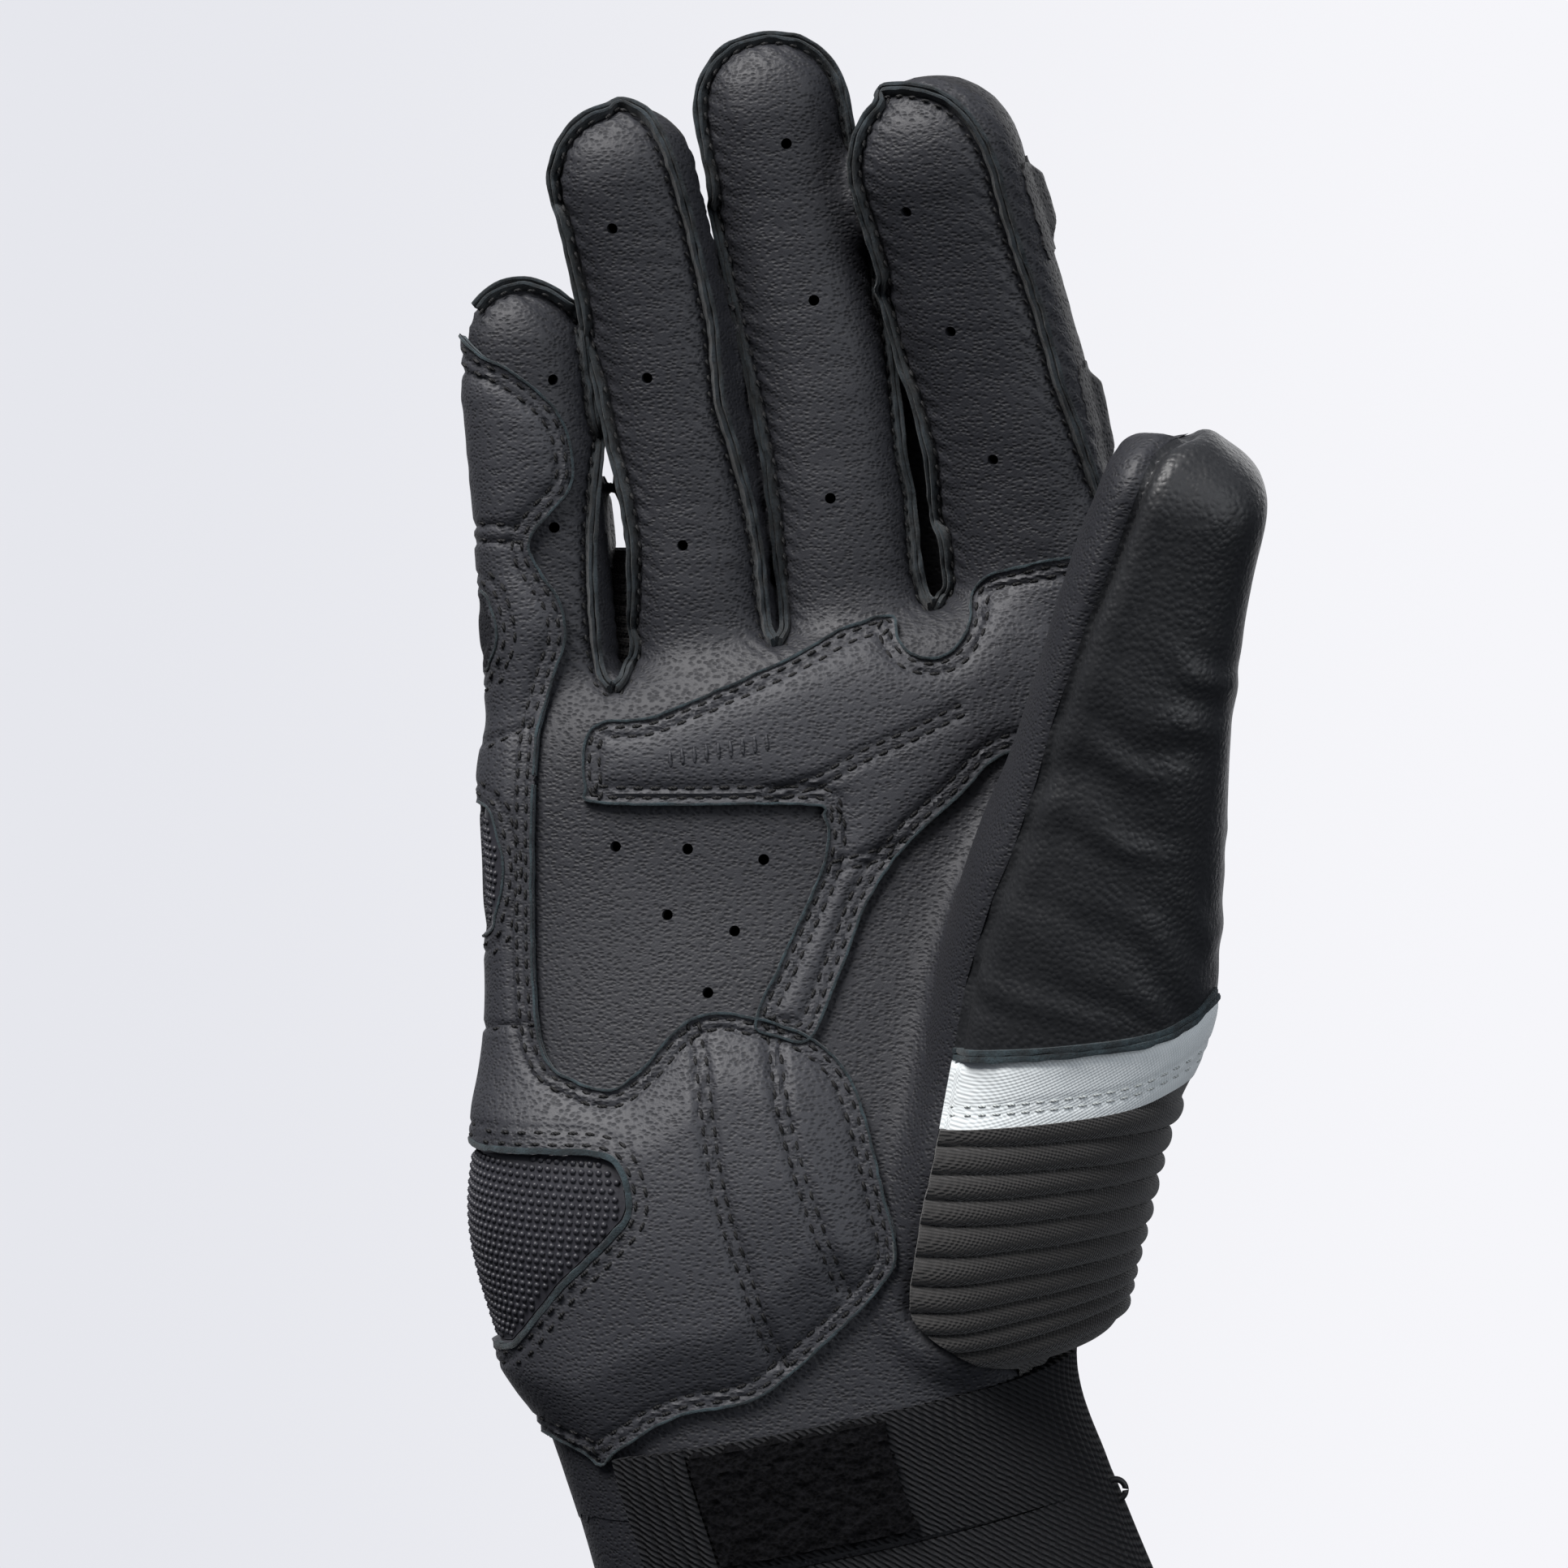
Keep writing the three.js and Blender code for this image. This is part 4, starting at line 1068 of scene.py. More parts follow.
def band(name, start, stop, low, high, lift, thick, height=None, step=0.4, rows=14, slant=0.0):
    """A strip of webbing round the cuff, from turn to turn and between two places up the forearm."""
    turns, along = turns_between(start, stop, (low + high) / 2, step)
    bm = bmesh.new()
    bmesh.ops.create_grid(bm, x_segments=len(turns) - 1, y_segments=rows, size=1)
    for vert in bm.verts:
        place = round((vert.co.x + 1) / 2 * (len(turns) - 1))
        share = (vert.co.y + 1) / 2
        turn = turns[place]
        up = low + (high - low) * share + slant * math.cos(turn)
        rounded = min(1, 4 * min(share, 1 - share) + 0.25)
        out = lift + (height(along[place], share) if height else 0) - 0.25 * (1 - rounded)
        vert.co = on_cuff(turn, up, out)
    made = thing_of(bm, name)
    facing = read(made.data, "vertex_normals", "vector")
    if np.sum(facing * (read(made.data) - wrist * 0.8), axis=1).mean() <= 0:
        made.data.flip_normals()
    worked(made, "SOLIDIFY", thickness=thick, offset=-1)
    return made


def cords(pitch, deep):
    """Grooves between cords that lie side by side across a band."""
    return lambda along, share: -deep * (1 - abs(math.sin(math.pi * along / pitch)) ** 0.6)


def ribbon(bm, rows, side_shift, width, height, seed):
    """One cut leather edge standing along a path on the skin."""
    spots, facing = rows[:, :3], rows[:, 3:]
    heading = unit(np.gradient(spots, axis=0))
    out = unit(facing + np.array([0, -1.1, 0]))
    side = unit(np.cross(heading, out))
    out = unit(np.cross(side, heading))
    wobble = mottle(spots, 1.3, seed)
    tall = height * (1 + 0.22 * mottle(spots, 2.1, seed + 3))
    rings = []
    for index in range(len(rows)):
        aside = side[index] * (side_shift + 0.1 * wobble[index])
        centre = spots[index] + aside + out[index] * (tall[index] / 2 - 0.5)
        wide = width * (1 + 0.25 * wobble[index])
        rings.append([*centre, *side[index], wide, tall[index] + 0.6, *out[index], *heading[index]])
    rings = np.array(rings)
    ends = []
    for ring, way in ((rings[0], -0.2), (rings[-1], 0.2)):
        end = ring.copy()
        end[:3] += end[11:14] * way
        end[6:8] = 0.01
        ends.append(end)
    loft(bm, np.vstack([ends[0], rings, ends[1]]), 8, 5)


def edge_of(bm, name):
    bmesh.ops.recalc_face_normals(bm, faces=bm.faces)
    return finished(thing_of(bm, name), 50)


def make_seam(name):
    """The two raw edges that stand along a finger's seam."""
    path = spaced(seam_paths[name], 0.8)
    path[:, 3:] = unit(path[:, 3:])
    bm = bmesh.new()
    ribbon(bm, path, -0.38, RIBBON_WIDTH, RIBBON_HEIGHT, 1.5)
    ribbon(bm, path, 0.38, RIBBON_WIDTH, RIBBON_HEIGHT * 0.92, 4.5)
    return edge_of(bm, "seam_" + name + "_edge")


def pebble(bm, centre, axes, fine=(6, 4)):
    """A rounded body whose half lengths are the rows of axes."""
    place = Matrix([[*axes[:, row], centre[row]] for row in range(3)] + [[0, 0, 0, 1]])
    bmesh.ops.create_uvsphere(bm, u_segments=fine[0], v_segments=fine[1], radius=1, matrix=place)


def stitch_row(bm, rows, length, width, lift, tilt=0.0):
    """Stitches along a path: rows hold places and directions, already a stitch's pitch apart."""
    spots, facing = rows[:, :3], unit(rows[:, 3:6])
    heading = unit(np.gradient(spots, axis=0))
    for spot, out, way in zip(spots, facing, heading):
        side = np.cross(out, way)
        way = unit(way + side * tilt)
        side = np.cross(out, way)
        pebble(bm, spot + out * lift, np.array([way * length / 2, side * width / 2, out * width / 2]))


def on_piece(tree, line):
    """Places on a piece's front at flat points (x, z), or None where it has none."""
    rows = []
    for x, z in line:
        hit, facing, _, _ = tree.ray_cast(Vector((x, NEAR, z)), Vector((0, 1, 0)))
        if hit is not None and facing.y > 0:
            facing = -facing
        rows.append([*hit, *facing] if hit is not None and facing.y < -0.2 else None)
    return rows


def rows_on(bm, piece, outline, stitch=STITCH, closed=True):
    """Stitches along a line, wherever it lies on the piece."""
    tree = tree_of(piece)
    pitch, length, width, lift = stitch
    line = spaced(np.vstack([outline, outline[:1]]) if closed else outline, pitch)
    run = []
    for row in on_piece(tree, line) + [None]:
        if row is not None:
            run.append(row)
            continue
        if len(run) > 2:
            stitch_row(bm, np.array(run), length, width, lift)
        run = []


def make_stitches(outer, palm_piece, stripe):
    """The dark stitches of the leather, and the pale ones of the stripe."""
    thread = bmesh.new()
    for step in EDGE_ROWS:
        rows_on(thread, outer, grown(outer_line, -step))
        rows_on(thread, palm_piece, grown(palm_line, -step))
    for window in windows:
        for step in WINDOW_ROWS:
            rows_on(thread, outer, grown(window, step))
    for line in palm_doubles:
        rows_on(thread, palm_piece, line, FINE_STITCH, closed=False)
    for line in channels + cross_seams:
        rows_on(thread, outer, line, FINE_STITCH, closed=False)
    for rows in seam_paths.values():
        inner = spaced(rows, 2.3)
        heading = unit(np.gradient(inner[:, :3], axis=0))
        side = unit(np.cross(heading, inner[:, 3:6]))
        inner[:, :3] += side * 1.35
        stitch_row(thread, inner, 1.3, 0.5, -0.15, 0.25)
    pale = bmesh.new()
    for step in STRIPE_ROWS:
        rows_on(pale, stripe, stripe_foot + np.array([0.0, step]), PALE_STITCH, closed=False)
    return finished(thing_of(thread, "stitches"), 60), finished(thing_of(pale, "stripe_stitches"), 60)


def make_holes(*pieces):
    """Small vent holes through the fronts of the fingers and the palm."""
    bm = bmesh.new()
    for px, py in HOLES:
        bmesh.ops.create_cone(
            bm, cap_ends=True, segments=20, radius1=HOLE_RADIUS, radius2=HOLE_RADIUS, depth=8,
            matrix=standing(seen([(px, py)])[0]),
        )
    drill = thing_of(bm, "drill")
    for piece in pieces:
        cut(piece, drill)
    drop(drill)


def make_pads():
    """Padded leather on the backs of the index and the little finger."""
    made = []
    for name, part, low, high in (
        ("index_pad_upper", "index", 0.64, 0.78), ("index_pad_lower", "index", 0.22, 0.4),
        ("little_pad", "little", 0.28, 0.46),
    ):
        rows = np.array([finger_row(part, along) for along in (low, high)])
        axis = unit(rows[1, :3] - rows[0, :3])
        length = np.linalg.norm(rows[1, :3] - rows[0, :3])
        up = (SPOTS - rows[0, :3]) @ axis
        _, deep = local(SPOTS, part)
        zone = (owner == OWNERS.index(part)) & (up > -1) & (up < length + 1) & (deep < 0.3)

        def relief(points):
            along = (points - rows[0, :3]) @ axis
            _, behind = local(points, part)
            edge = np.minimum(np.minimum(along, length - along), (-0.2 - behind) * 8)
            return 0.15 + 1.9 * ramp(edge, -0.6, 3.2) + 0.4 * folds(points)

        made.append(finished(sheet(name + "_leather", zone, 1.2, 1, relief)))
    return made


def backed(thing, thick):
    """Turns a sheet to the front and thickens it behind."""
    if read(thing.data, "vertex_normals", "vector")[:, 1].mean() > 0:
        thing.data.flip_normals()
    worked(thing, "SOLIDIFY", thickness=thick, offset=-1)
    return thing


def make_web():
    """The ribbed web between the little and the ring finger."""
    bm = bmesh.new()
    bmesh.ops.create_grid(bm, x_segments=40, y_segments=110, size=1)
    for vert in bm.verts:
        across, up = vert.co.x, (vert.co.y + 1) / 2
        z = 179 + 19.6 * up
        rib = 0.4 * abs(math.sin(math.pi * z / 1.6))
        slack = 3.6 * (1 - across * across) * (0.35 + 0.65 * up)
        vert.co = (-50.6 - 0.06 * (z - 180) + 4.6 * across, -1.4 + 0.6 * up - rib + slack, z)
    return finished(backed(thing_of(bm, "web_cloth"), 0.9), 60)


def make_gussets():
    """Leather between the ring, middle and index fingers, where their side walls meet."""
    made = []
    for name, low, high, half in (
        ("ring_gusset", (-27.6, 184), (-32.4, 226), 3.4), ("index_gusset", (-4.6, 190), (-9.8, 240), 4.3),
    ):
        bm = bmesh.new()
        bmesh.ops.create_grid(bm, x_segments=16, y_segments=50, size=1)
        for vert in bm.verts:
            across, up = vert.co.x, (vert.co.y + 1) / 2
            x = low[0] + (high[0] - low[0]) * up
            z = low[1] + (high[1] - low[1]) * up
            vert.co = (x + half * across, 2.5 - 7 * up + 2.2 * (1 - across * across), z)
        made.append(finished(backed(thing_of(bm, name + "_leather"), 1.0)))
    return made


def turn_at(x, up, lift=0.0):
    """The turn round the cuff's front where a band reaches a place across."""
    turns = np.linspace(math.radians(5), math.radians(175), 400)
    spots = np.array([on_cuff(turn, up, lift)[0] for turn in turns])
    return turns[np.argmin(np.abs(spots - x))]


def make_straps():
    """The two straps, the wrist strap's doubled end, the patches, and the binding of the hem."""
    up = WRIST_STRAP_UP
    low, high = up - WRIST_STRAP_WIDTH / 2, up + WRIST_STRAP_WIDTH / 2
    left = wrist[0] - WRIST_STRAP_END
    rear = -math.pi + 0.75
    made = {}

    def lay(name, *values):
        made[name] = finished(band(name, *values), 65)

    end = turn_at(left, up, 4.5)
    lay("wrist_strap_webbing", rear, end, low, high, GAP + STRAP, STRAP - 0.2, cords(1.5, 0.45), 0.3)
    fold = turn_at(left + FOLD_LENGTH, up, 4)
    lay("strap_fold_webbing", fold, end + 0.02, low - 0.2, high + 0.4, GAP * 2 + STRAP * 1.9, STRAP,
        cords(1.75, 0.85), 0.22)

    def fuzz(along, share):
        spot = np.array([[along, share * 20, 3.0]])
        return float(0.35 * mottle(spot, 1.1, 2.2)[0] + 0.25 * mottle(spot, 0.5, 1.2)[0])

    patch_end = turn_at(left + FOLD_LENGTH + HOOK_LENGTH, up, 3)
    lay("hook_patch_pile", patch_end, fold - 0.01, up - HOOK_WIDTH / 2, up + HOOK_WIDTH / 2,
        GAP * 2 + STRAP + 1.0, 1.4, fuzz, 0.35, 44)
    under_left = turn_at(left, low - 10)
    under_right = turn_at(left + UNDER_LENGTH, low - 10)
    lay("under_patch_pile", under_right, under_left, low - GAP - UNDER_WIDTH, low - GAP, GAP + 1.3, 1.3,
        fuzz, 0.35, 44)
    cuff_left = turn_at(wrist[0] - CUFF_STRAP_END, CUFF_STRAP_UP)
    lay("cuff_strap_webbing", rear, cuff_left, CUFF_STRAP_UP - CUFF_STRAP_WIDTH / 2, low - GAP - 0.6,
        GAP + STRAP, STRAP - 0.2, cords(1.5, 0.45), 0.3, 22, 1.2)
    lay("hem_binding", -math.pi, math.pi - 0.002, 0.2, 6.2, 0.55, 0.9, None, 1.0, 8)
    return made


def make_ring():
    """The small ring beside the straps, and the tab that holds it."""
    low, high = (np.array(corner) * 1000 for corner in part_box("strap_ring"))
    middle = (low + high) / 2 + np.array([-2.6, 0.3, -0.4])
    bm = bmesh.new()
    rings = []
    for turn in np.linspace(0, 2 * math.pi, 41):
        out = np.array([math.cos(turn), 0, math.sin(turn)])
        rings.append([*(middle + out * 1.5), *out, 0.95, 0.8, 0, -1, 0, -out[2], 0, out[0]])
    loft(bm, np.array(rings), 10, 2)
    made = thing_of(bm, "ring_plastic")
    worked(made, "WELD", merge_threshold=0.01)
    tab = bmesh.new()
    place = Matrix.Translation(middle + np.array([-2.6, 0.3, 0])) @ Matrix.Diagonal((2.2, 0.7, 0.95, 1))
    bmesh.ops.create_uvsphere(tab, u_segments=16, v_segments=10, radius=1, matrix=place)
    return finished(made, 60), finished(thing_of(tab, "ring_tab"), 60)


def make_stripe_edge(wall):
    """The thumb leather's raw edge above the stripe."""
    bm = bmesh.new()
    line = spaced(stripe_top + np.array([0.0, 0.9]), 0.8)
    rows = np.array([row for row in on_piece(tree_of(wall), line) if row is not None])
    for shift, seed in ((-0.45, 1.1), (0.45, 3.9)):
        ribbon(bm, rows, shift, 0.95, 0.85, seed)
    return edge_of(bm, "stripe_edge")


def make_raw_edges(outer, palm_piece):
    """The pale cut edge that shows round each piece sewn on top."""
    bm = bmesh.new()
    for piece, outline, inward in (
        (outer, outer_line, 0.25), (palm_piece, palm_line, 0.25), (outer, heel_line, -0.5),
        (outer, mid_line, -0.25), (outer, upper_line, -0.25),
    ):
        inner = grown(outline, -inward)
        line = spaced(np.vstack([inner, inner[:1]]), 0.7)
        run = []
        for row in on_piece(tree_of(piece), line) + [None]:
            if row is not None and (not run or np.linalg.norm(np.array(row[:3]) - run[-1][:3]) < 2.5):
                run.append(np.array(row))
                continue
            if len(run) > 4:
                width = 0.95 if outline is heel_line else 0.42
                ribbon(bm, np.array(run), 0, width, 0.55, 2.7)
            run = []
    return edge_of(bm, "raw_edges")


def make_bars(palm_piece):
    """Nine plain raised bars on the palm pad, in a row that rises to the right."""
    bm = bmesh.new()
    tree = tree_of(palm_piece)
    for index in range(9):
        px = 825 + 14.9 * index
        top = 924 - 2.45 * index
        ends = [ray(px, top)[0], ray(px + 1.5, top + 22)[0]]
        nearer = [end + (end - EYE) * -0.028 for end in ends]
        found = on_piece(tree, [(end[0], end[2]) for end in nearer])
        if any(row is None for row in found):
            continue
        first, last = np.array(found[0]), np.array(found[1])
        middle = (first[:3] + last[:3]) / 2
        way = unit(last[:3] - first[:3])
        out = unit(first[3:] + last[3:])
        side = np.cross(out, way)
        pebble(bm, middle + out * 0.02, np.array([way * 1.25, side * 0.32, out * 0.3]), (16, 10))
    return finished(thing_of(bm, "palm_bars"), 60)


# Materials


class Wire:
    """A number inside a material, so that its maths reads like ordinary maths."""

    def __init__(self, paint, socket):
        self.paint = paint
        self.socket = socket

    def math(self, operation, *others):
        return self.paint.add("Math", {"operation": operation}, {0: self, **dict(enumerate(others, 1))})

    def __add__(self, other):
        return self.math("ADD", other)

    def __sub__(self, other):
        return self.math("SUBTRACT", other)

    def __rsub__(self, other):
        return (self * -1) + other

    def __mul__(self, other):
        return self.math("MULTIPLY", other)

    __radd__ = __add__
    __rmul__ = __mul__

    def sin(self):
        return self.math("SINE")

    def ramp(self, low, high):
        """0 below the lower value and 1 above the higher one, eased between them."""
        inputs = {"Value": self, "From Min": low, "From Max": high}
        return self.paint.add("MapRange", {"interpolation_type": "SMOOTHSTEP"}, inputs)


class Paint:
    """A material with its nodes; each call adds one node and gives its first output."""

    def __init__(self, name):
        self.material = bpy.data.materials.new(name)
        self.material.use_nodes = True
        self.tree = self.material.node_tree
        self.shader = self.tree.nodes["Principled BSDF"]
        self.place = self.add("TexCoord", {}, {}, "Object")

    def plug(self, socket, value):
        if isinstance(value, Wire):
            self.tree.links.new(value.socket, socket)
        else:
            socket.default_value = value

    def add(self, kind, settings, inputs, output=0):
        node = self.tree.nodes.new("ShaderNode" + kind)
        for name, value in settings.items():
            setattr(node, name, value)
        for name, value in inputs.items():
            self.plug(node.inputs[name], value)
        return Wire(self, node.outputs[output])

    def noise(self, scale, detail=2.0, rough=0.5, place=None):
        inputs = {"Vector": place or self.place, "Scale": scale, "Detail": detail, "Roughness": rough}
        return self.add("TexNoise", {}, inputs)

    def cells(self, scale, place=None, smooth=None):
        inputs = {"Vector": place or self.place, "Scale": scale}
        feature = "F1"
        if smooth is not None:
            feature = "SMOOTH_F1"
            inputs["Smoothness"] = smooth
        return self.add("TexVoronoi", {"feature": feature}, inputs, "Distance")

    def stretched(self, scale):
        return self.add("Mapping", {}, {"Vector": self.place, "Scale": scale})

    def axis(self, name):
        return self.add("SeparateXYZ", {}, {"Vector": self.place}, name)

    def blend(self, share, first, second):
        return self.add("Mix", {"data_type": "RGBA"}, {"Factor": share, 6: first, 7: second}, 2)

    def done(self, color, rough, height=None, strength=1.0, distance=0.0002, **values):
        self.plug(self.shader.inputs["Base Color"], color)
        self.plug(self.shader.inputs["Roughness"], rough)
        if height is not None:
            bump = self.add("Bump", {}, {"Height": height, "Strength": strength, "Distance": distance})
            self.plug(self.shader.inputs["Normal"], bump)
        for name, value in values.items():
            self.plug(self.shader.inputs[name.replace("_", " ")], value)
        return self.material


def shade(red, green, blue):
    """A screen colour from 0 to 255 as a material's own."""
    screen = (red, green, blue)
    return (*(pow((value / 255 + 0.055) / 1.055, 2.4) if value > 10 else value / 3294 for value in screen), 1)


def times(color, by):
    return tuple(value * by for value in color[:3]) + (1,)


def leather(name, base, grain=1850, deep=1.0, rough=0.57):
    """Grained leather: short dark pits of uneven size, fine pores, and wear on what stands out."""
    paint = Paint(name)
    shift = paint.add("VectorMath", {"operation": "SCALE"}, {0: paint.noise(420, 2, 0.5), "Scale": 0.0006})
    bent = paint.add("VectorMath", {"operation": "ADD"}, {0: paint.place, 1: shift})
    wide_set = paint.add("VectorMath", {"operation": "MULTIPLY"}, {0: bent, 1: (0.62, 0.8, 1)})
    pits = paint.cells(grain, wide_set, smooth=0.2).ramp(0.08, 0.62)
    fine = paint.noise(2600, 3, 0.6)
    soft = paint.noise(38, 3, 0.5)
    wide = paint.noise(230, 3, 0.55)
    height = pits * 0.7 + fine * 0.45 + wide * 0.15
    share = pits * 0.5 + soft * 0.3 + wide * 0.15 - 0.15
    color = paint.blend(share, times(base, 0.5), times(base, 1.5))
    gloss = rough + (soft - 0.5) * 0.25 + (1 - pits) * 0.15
    return paint.done(color, gloss, height, 0.6 * deep, 0.00024)


def smooth_leather(name, base):
    """Softer leather with shallow creases that run across the thumb."""
    paint = Paint(name)
    fine = paint.noise(1500, 4, 0.62)
    crease = paint.noise(260, 2, 0.5, paint.stretched((0.5, 0.5, 1.6)))
    pores = paint.cells(1250, smooth=0.35)
    soft = paint.noise(45, 3, 0.5)
    height = fine * 0.3 + crease * 0.5 + (1 - pores.ramp(0.1, 0.75)) * 0.8
    color = paint.blend(soft * 0.6 + fine * 0.3, base, times(base, 1.7))
    return paint.done(color, 0.46 + (fine - 0.5) * 0.3 + (soft - 0.5) * 0.2, height, 0.4, 0.0002)


def suede(name, base, light):
    paint = Paint(name)
    nap = paint.noise(2400, 4, 0.7)
    patchy = paint.noise(330, 3, 0.6)
    color = paint.blend((nap * 0.5 + patchy * 0.8).ramp(0.45, 0.95), base, light)
    return paint.done(color, 0.92, nap + patchy * 0.5, 0.8, 0.0003, **{"Sheen Weight": 0.15})


def stripe_cloth():
    """Pale canvas: crossing yarns a third of a millimetre apart."""
    paint = Paint("stripe_fabric")
    turned = paint.add("Mapping", {}, {"Vector": paint.place, "Rotation": (0, math.radians(-12), 0)})
    x = paint.add("SeparateXYZ", {}, {"Vector": turned}, "X") + paint.axis("Y") * 0.9
    z = paint.add("SeparateXYZ", {}, {"Vector": turned}, "Z")
    warp = (x * 9500).sin()
    weft = (z * 9500).sin()
    weave = warp * weft
    uneven = paint.noise(520, 3, 0.6)
    dirt = paint.noise(60, 4, 0.6)
    share = weave * 0.12 + uneven * 0.6 + 0.2
    color = paint.blend(share, shade(212, 221, 224), shade(246, 250, 250))
    color = paint.blend(dirt.ramp(0.5, 0.8) * 0.35, color, shade(150, 158, 160))
    return paint.done(color, 0.85, weave + uneven, 0.3, 0.00015, **{"Sheen Weight": 0.1})


def ribbed_cloth():
    """Dark stretch cloth: fine slanted knit over the ribs."""
    paint = Paint("ribbed_fabric")
    x = paint.axis("X") + paint.axis("Y") * 0.8
    z = paint.axis("Z")
    uneven = paint.noise(300, 3, 0.6)
    knit = ((x + z * 0.6) * 8200 + uneven * 3).sin() * ((x * -0.6 + z) * 8200).sin()
    fuzz = paint.noise(1900, 4, 0.65)
    color = paint.blend(knit * 0.25 + fuzz * 0.7 + uneven * 0.2, shade(20, 20, 20), shade(54, 52, 51))
    return paint.done(color, 0.88, knit * 0.8 + fuzz, 0.7, 0.00022, **{"Sheen Weight": 0.25})


def webbing_cloth():
    """Black webbing: short slanted threads along each cord."""
    paint = Paint("webbing")
    x = paint.axis("X")
    z = paint.axis("Z")
    uneven = paint.noise(420, 3, 0.6)
    thread = ((z + x * 0.55) * 7600 + uneven * 4).sin()
    fuzz = paint.noise(2400, 4, 0.7)
    color = paint.blend(thread * 0.25 + fuzz * 0.5 + 0.15, shade(10, 10, 12), shade(42, 43, 46))
    return paint.done(color, 0.8, thread + fuzz * 0.7, 0.7, 0.00025, **{"Specular IOR Level": 0.25})


def pile_cloth():
    paint = Paint("pile")
    loops = paint.cells(1500)
    fuzz = paint.noise(2600, 5, 0.75)
    color = paint.blend((loops + fuzz * 0.8).ramp(0.4, 1.3), shade(3, 3, 4), shade(21, 21, 24))
    return paint.done(color, 0.97, loops + fuzz, 1.0, 0.0006, **{"Specular IOR Level": 0.12})


def grip_rubber():
    paint = Paint("grip_rubber")
    fine = paint.noise(1700, 3, 0.6)
    dust = paint.noise(120, 4, 0.6)
    color = paint.blend(dust * 0.6 + fine * 0.4, shade(30, 30, 34), shade(62, 62, 69))
    return paint.done(color, 0.45 + (fine - 0.5) * 0.3, fine, 0.25, 0.0001)


def thread(name, base, light):
    paint = Paint(name)
    ply = ((paint.axis("Z") + paint.axis("X") * 1.3) * 9000).sin()
    fuzz = paint.noise(2100, 3, 0.6)
    color = paint.blend(ply * 0.3 + fuzz * 0.7, base, light)
    return paint.done(color, 0.7, ply + fuzz, 0.5, 0.0001)


def ring_plastic():
    paint = Paint("ring_plastic")
    scuff = paint.noise(900, 4, 0.7)
    color = paint.blend(scuff.ramp(0.4, 0.8), shade(12, 12, 14), shade(34, 34, 38))
    return paint.done(color, 0.35 + scuff * 0.25, scuff, 0.2, 0.00005)


palm, back, cuff_wall, bulk = make_panels()
outer, palm_piece = make_overlays(bulk)
grips = make_grips()
wall, stripe, ribs = make_thumb()
make_holes(palm, outer)
worked(palm, "DECIMATE", ratio=0.6)
worked(ribs, "DECIMATE", ratio=0.6)
seams = {name: make_seam(name) for name in SEAMS}
stitches, stripe_stitches = make_stitches(outer, palm_piece, stripe)
pads = make_pads()
web = make_web()
gussets = make_gussets()
straps = make_straps()
ring, ring_tab = make_ring()
stripe_edge = make_stripe_edge(wall)
bars = make_bars(palm_piece)
raw_edges = make_raw_edges(outer, palm_piece)
drop(bulk, skin)
for thing in (palm, back, cuff_wall, outer, palm_piece, wall, stripe, ribs):
    finished(thing)

body_look = leather("leather", shade(37, 38, 43))
overlay_look = leather("overlay_leather", shade(50, 51, 56))
side_look = leather("back_leather", shade(30, 30, 33), 1500, 1.1, 0.6)
thumb_look = smooth_leather("thumb_leather", shade(30, 31, 33))
edge_look = suede("suede_edge", shade(12, 16, 18), shade(44, 54, 60))
teal_look = suede("suede_face", shade(20, 28, 32), shade(54, 70, 76))
stripe_look = stripe_cloth()
rib_look = ribbed_cloth()
web_look = webbing_cloth()
pile_look = pile_cloth()
grip_look = grip_rubber()
dark_thread = thread("dark_thread", shade(3, 3, 4), shade(15, 15, 17))
pale_thread = thread("pale_thread", shade(150, 156, 156), shade(214, 218, 216))
ring_look = ring_plastic()

# piece, its looks, its slot, and the nodes that it stands for
HUNG = [
    (palm, [body_look, edge_look], "leather", ["palm_panel", "thenar_panel"]),
    (back, [side_look, edge_look], "leather", ["back_panel"]),
    (cuff_wall, [body_look, edge_look], "leather", ["cuff"]),
    (outer, [overlay_look, edge_look], "leather", ["outer_overlay"]),
    (palm_piece, [overlay_look, edge_look], "leather", ["palm_overlay"]),
    (wall, [thumb_look, edge_look], "thumb_leather", ["thumb_panel"]),
    (stripe, [stripe_look], "stripe_fabric", ["thumb_stripe"]),
    (ribs, [rib_look], "ribbed_fabric", ["thumb_ribs"]),
    *[(piece, [grip_look], "grip_rubber", ["grip_" + name]) for name, piece in grips.items()],
    *[(piece, [edge_look], "suede_edge", ["seam_" + name]) for name, piece in seams.items()],
    (stitches, [dark_thread], "leather", []),
    (stripe_stitches, [pale_thread], "stripe_fabric", []),
    (pads[0], [side_look], "leather", ["index_pad_upper"]),
    (pads[1], [side_look], "leather", ["index_pad_lower"]),
    (pads[2], [overlay_look], "leather", ["little_pad"]),
    (web, [rib_look], "ribbed_fabric", ["finger_web"]),
    *[(piece, [side_look], "leather", []) for piece in gussets],
    (straps["wrist_strap_webbing"], [web_look], "webbing", ["wrist_strap"]),
    (straps["strap_fold_webbing"], [web_look], "webbing", ["strap_end"]),
    (straps["hook_patch_pile"], [pile_look], "pile", ["strap_hook_patch"]),
    (straps["under_patch_pile"], [pile_look], "pile", ["under_patch"]),
    (straps["cuff_strap_webbing"], [web_look], "webbing", ["cuff_strap"]),
    (straps["hem_binding"], [web_look], "webbing", []),
    (ring, [ring_look], "ring_plastic", ["strap_ring"]),
    (ring_tab, [stripe_look], "stripe_fabric", []),
    (stripe_edge, [teal_look], "suede_edge", []),
    (bars, [overlay_look], "leather", []),
    (raw_edges, [teal_look], "suede_edge", []),
]
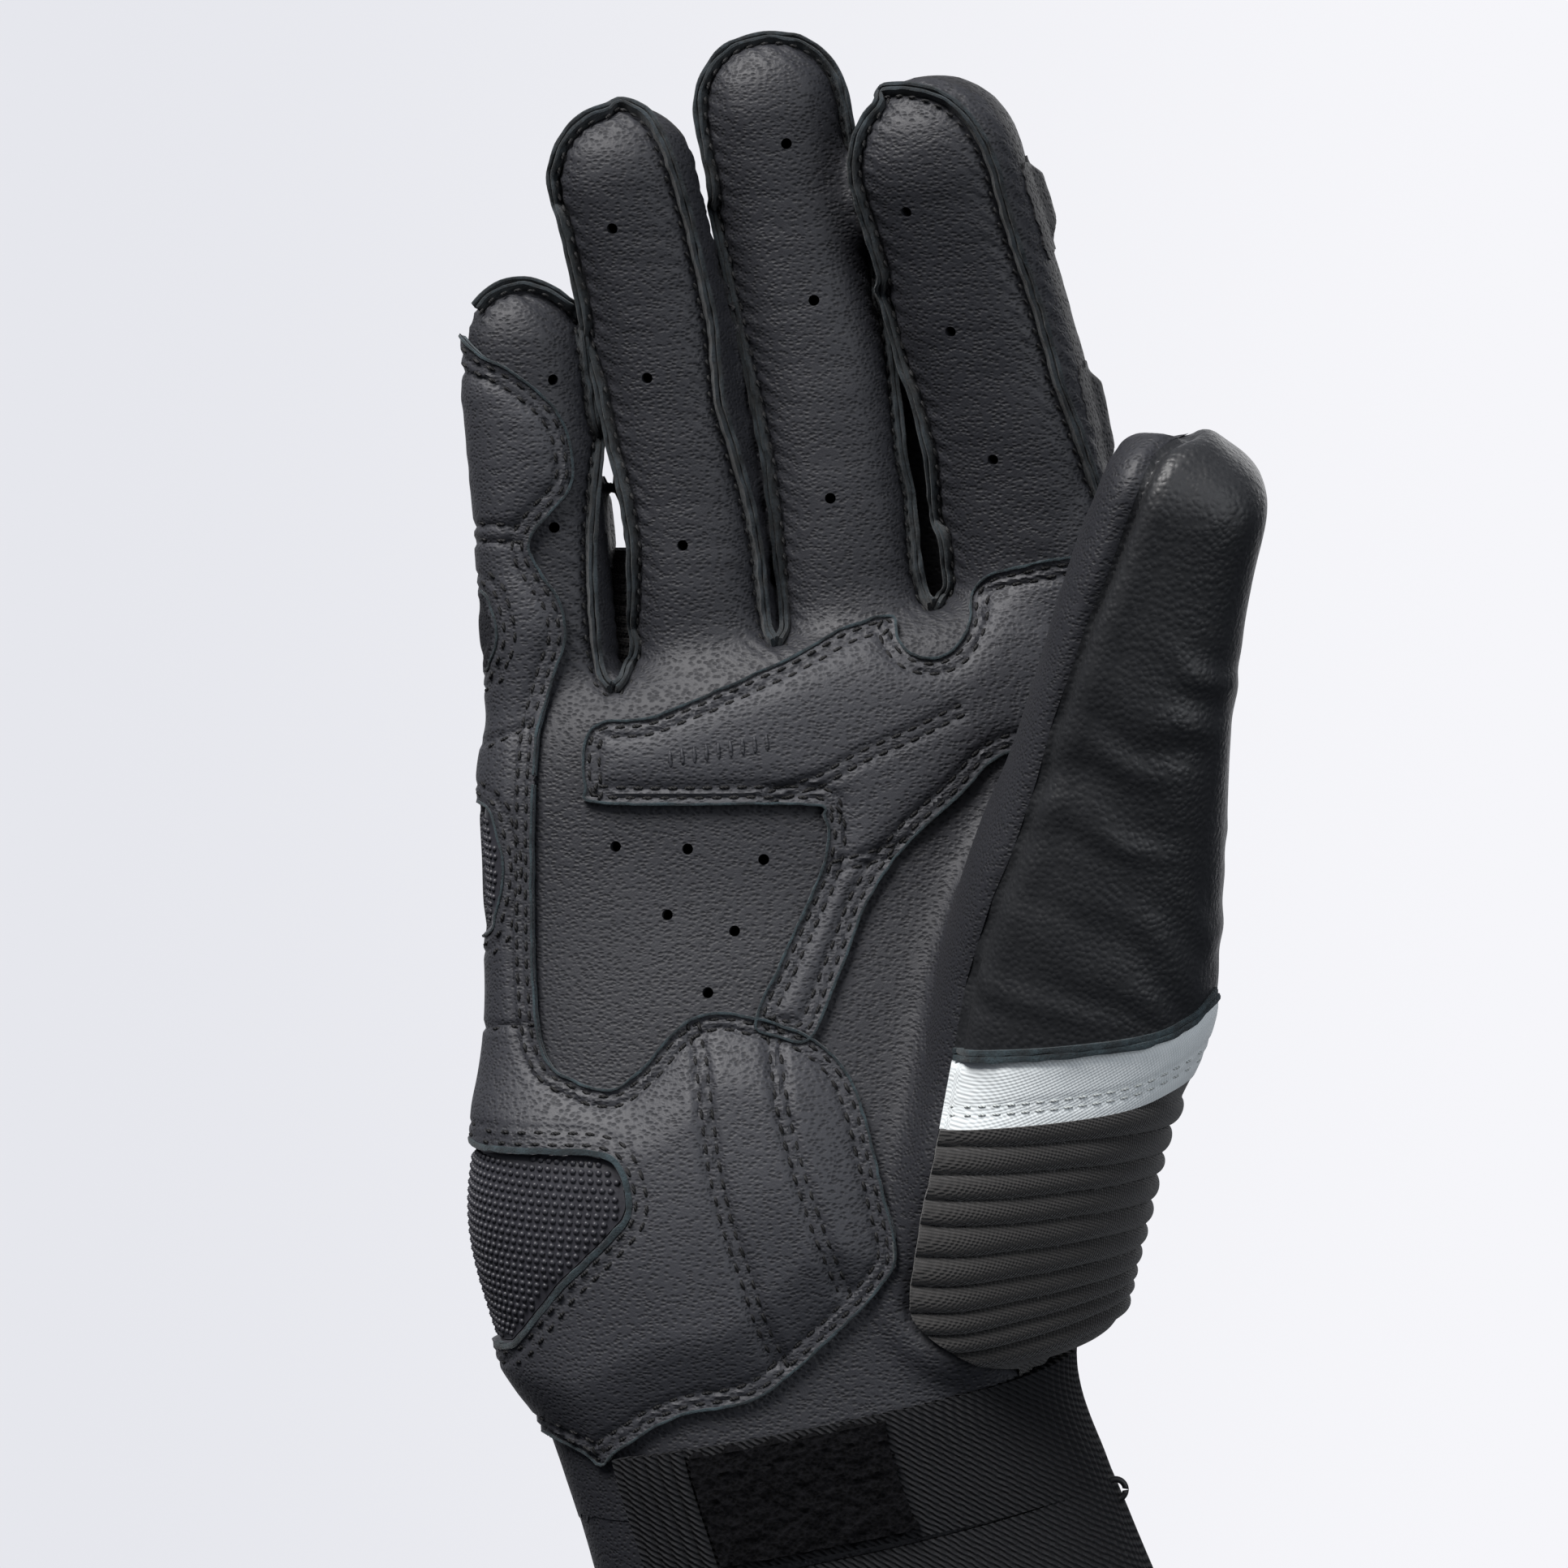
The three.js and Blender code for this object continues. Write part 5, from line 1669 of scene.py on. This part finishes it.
for piece, looks, slot, nodes in HUNG:
    piece.data.materials.clear()
    for look in looks:
        piece.data.materials.append(look)
    piece.data.transform(Matrix.Scale(0.001, 4))
    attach(piece, "root")
    if nodes:
        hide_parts(*nodes)


# The studio: a bright world background behind the glove, dimmer room light, and soft lamps
world = bpy.data.worlds.new("studio")
world.use_nodes = True
nodes, links = world.node_tree.nodes, world.node_tree.links
ways = nodes.new("ShaderNodeTexCoord")
parts = nodes.new("ShaderNodeSeparateXYZ")
links.new(ways.outputs["Generated"], parts.inputs["Vector"])


def eased_range(socket, low, high):
    step = nodes.new("ShaderNodeMapRange")
    step.interpolation_type = "SMOOTHSTEP"
    step.inputs["From Min"].default_value = low
    step.inputs["From Max"].default_value = high
    links.new(socket, step.inputs["Value"])
    return step.outputs["Result"]


def mixed(share, first, second):
    step = nodes.new("ShaderNodeMix")
    step.data_type = "RGBA"
    links.new(share, step.inputs["Factor"])
    for index, value in ((6, first), (7, second)):
        if isinstance(value, tuple):
            step.inputs[index].default_value = value
        else:
            links.new(value, step.inputs[index])
    return step.outputs[2]


behind = mixed(eased_range(parts.outputs["X"], -0.18, 0.18), shade(230, 231, 237), shade(246, 246, 250))
room = mixed(eased_range(parts.outputs["Z"], -0.6, 0.8), shade(38, 40, 46), shade(122, 125, 133))
backdrop = mixed(eased_range(parts.outputs["Y"], 0.7, 0.92), room, behind)
links.new(backdrop, nodes["Background"].inputs["Color"])
nodes["Background"].inputs["Strength"].default_value = 1
bpy.context.scene.world = world
bpy.context.scene.view_settings.view_transform = "Standard"


def lamp(name, place, size, energy, color=(1, 1, 1)):
    data = bpy.data.lights.new(name, "AREA")
    data.energy = energy
    data.size = size
    data.color = color
    made = bpy.data.objects.new(name, data)
    made.location = place
    made.rotation_euler = (Vector((0, 0, 0.15)) - Vector(place)).to_track_quat("-Z", "Y").to_euler()
    bpy.context.scene.collection.objects.link(made)


lamp("key", (-0.6, -0.7, 1.3), 0.8, 34, (1, 0.98, 0.97))
lamp("fill", (0.7, -0.9, 0.35), 0.9, 5, (0.93, 0.96, 1))
lamp("rim", (0.5, 0.7, 0.6), 0.6, 1.6)

lens = bpy.data.cameras.new("camera")
lens.sensor_width = 36
lens.lens = 100.93
eye = bpy.data.objects.new("camera", lens)
eye.location = EYE / 1000
eye.rotation_euler = (math.radians(90), 0, 0)
bpy.context.scene.collection.objects.link(eye)
bpy.context.scene.camera = eye
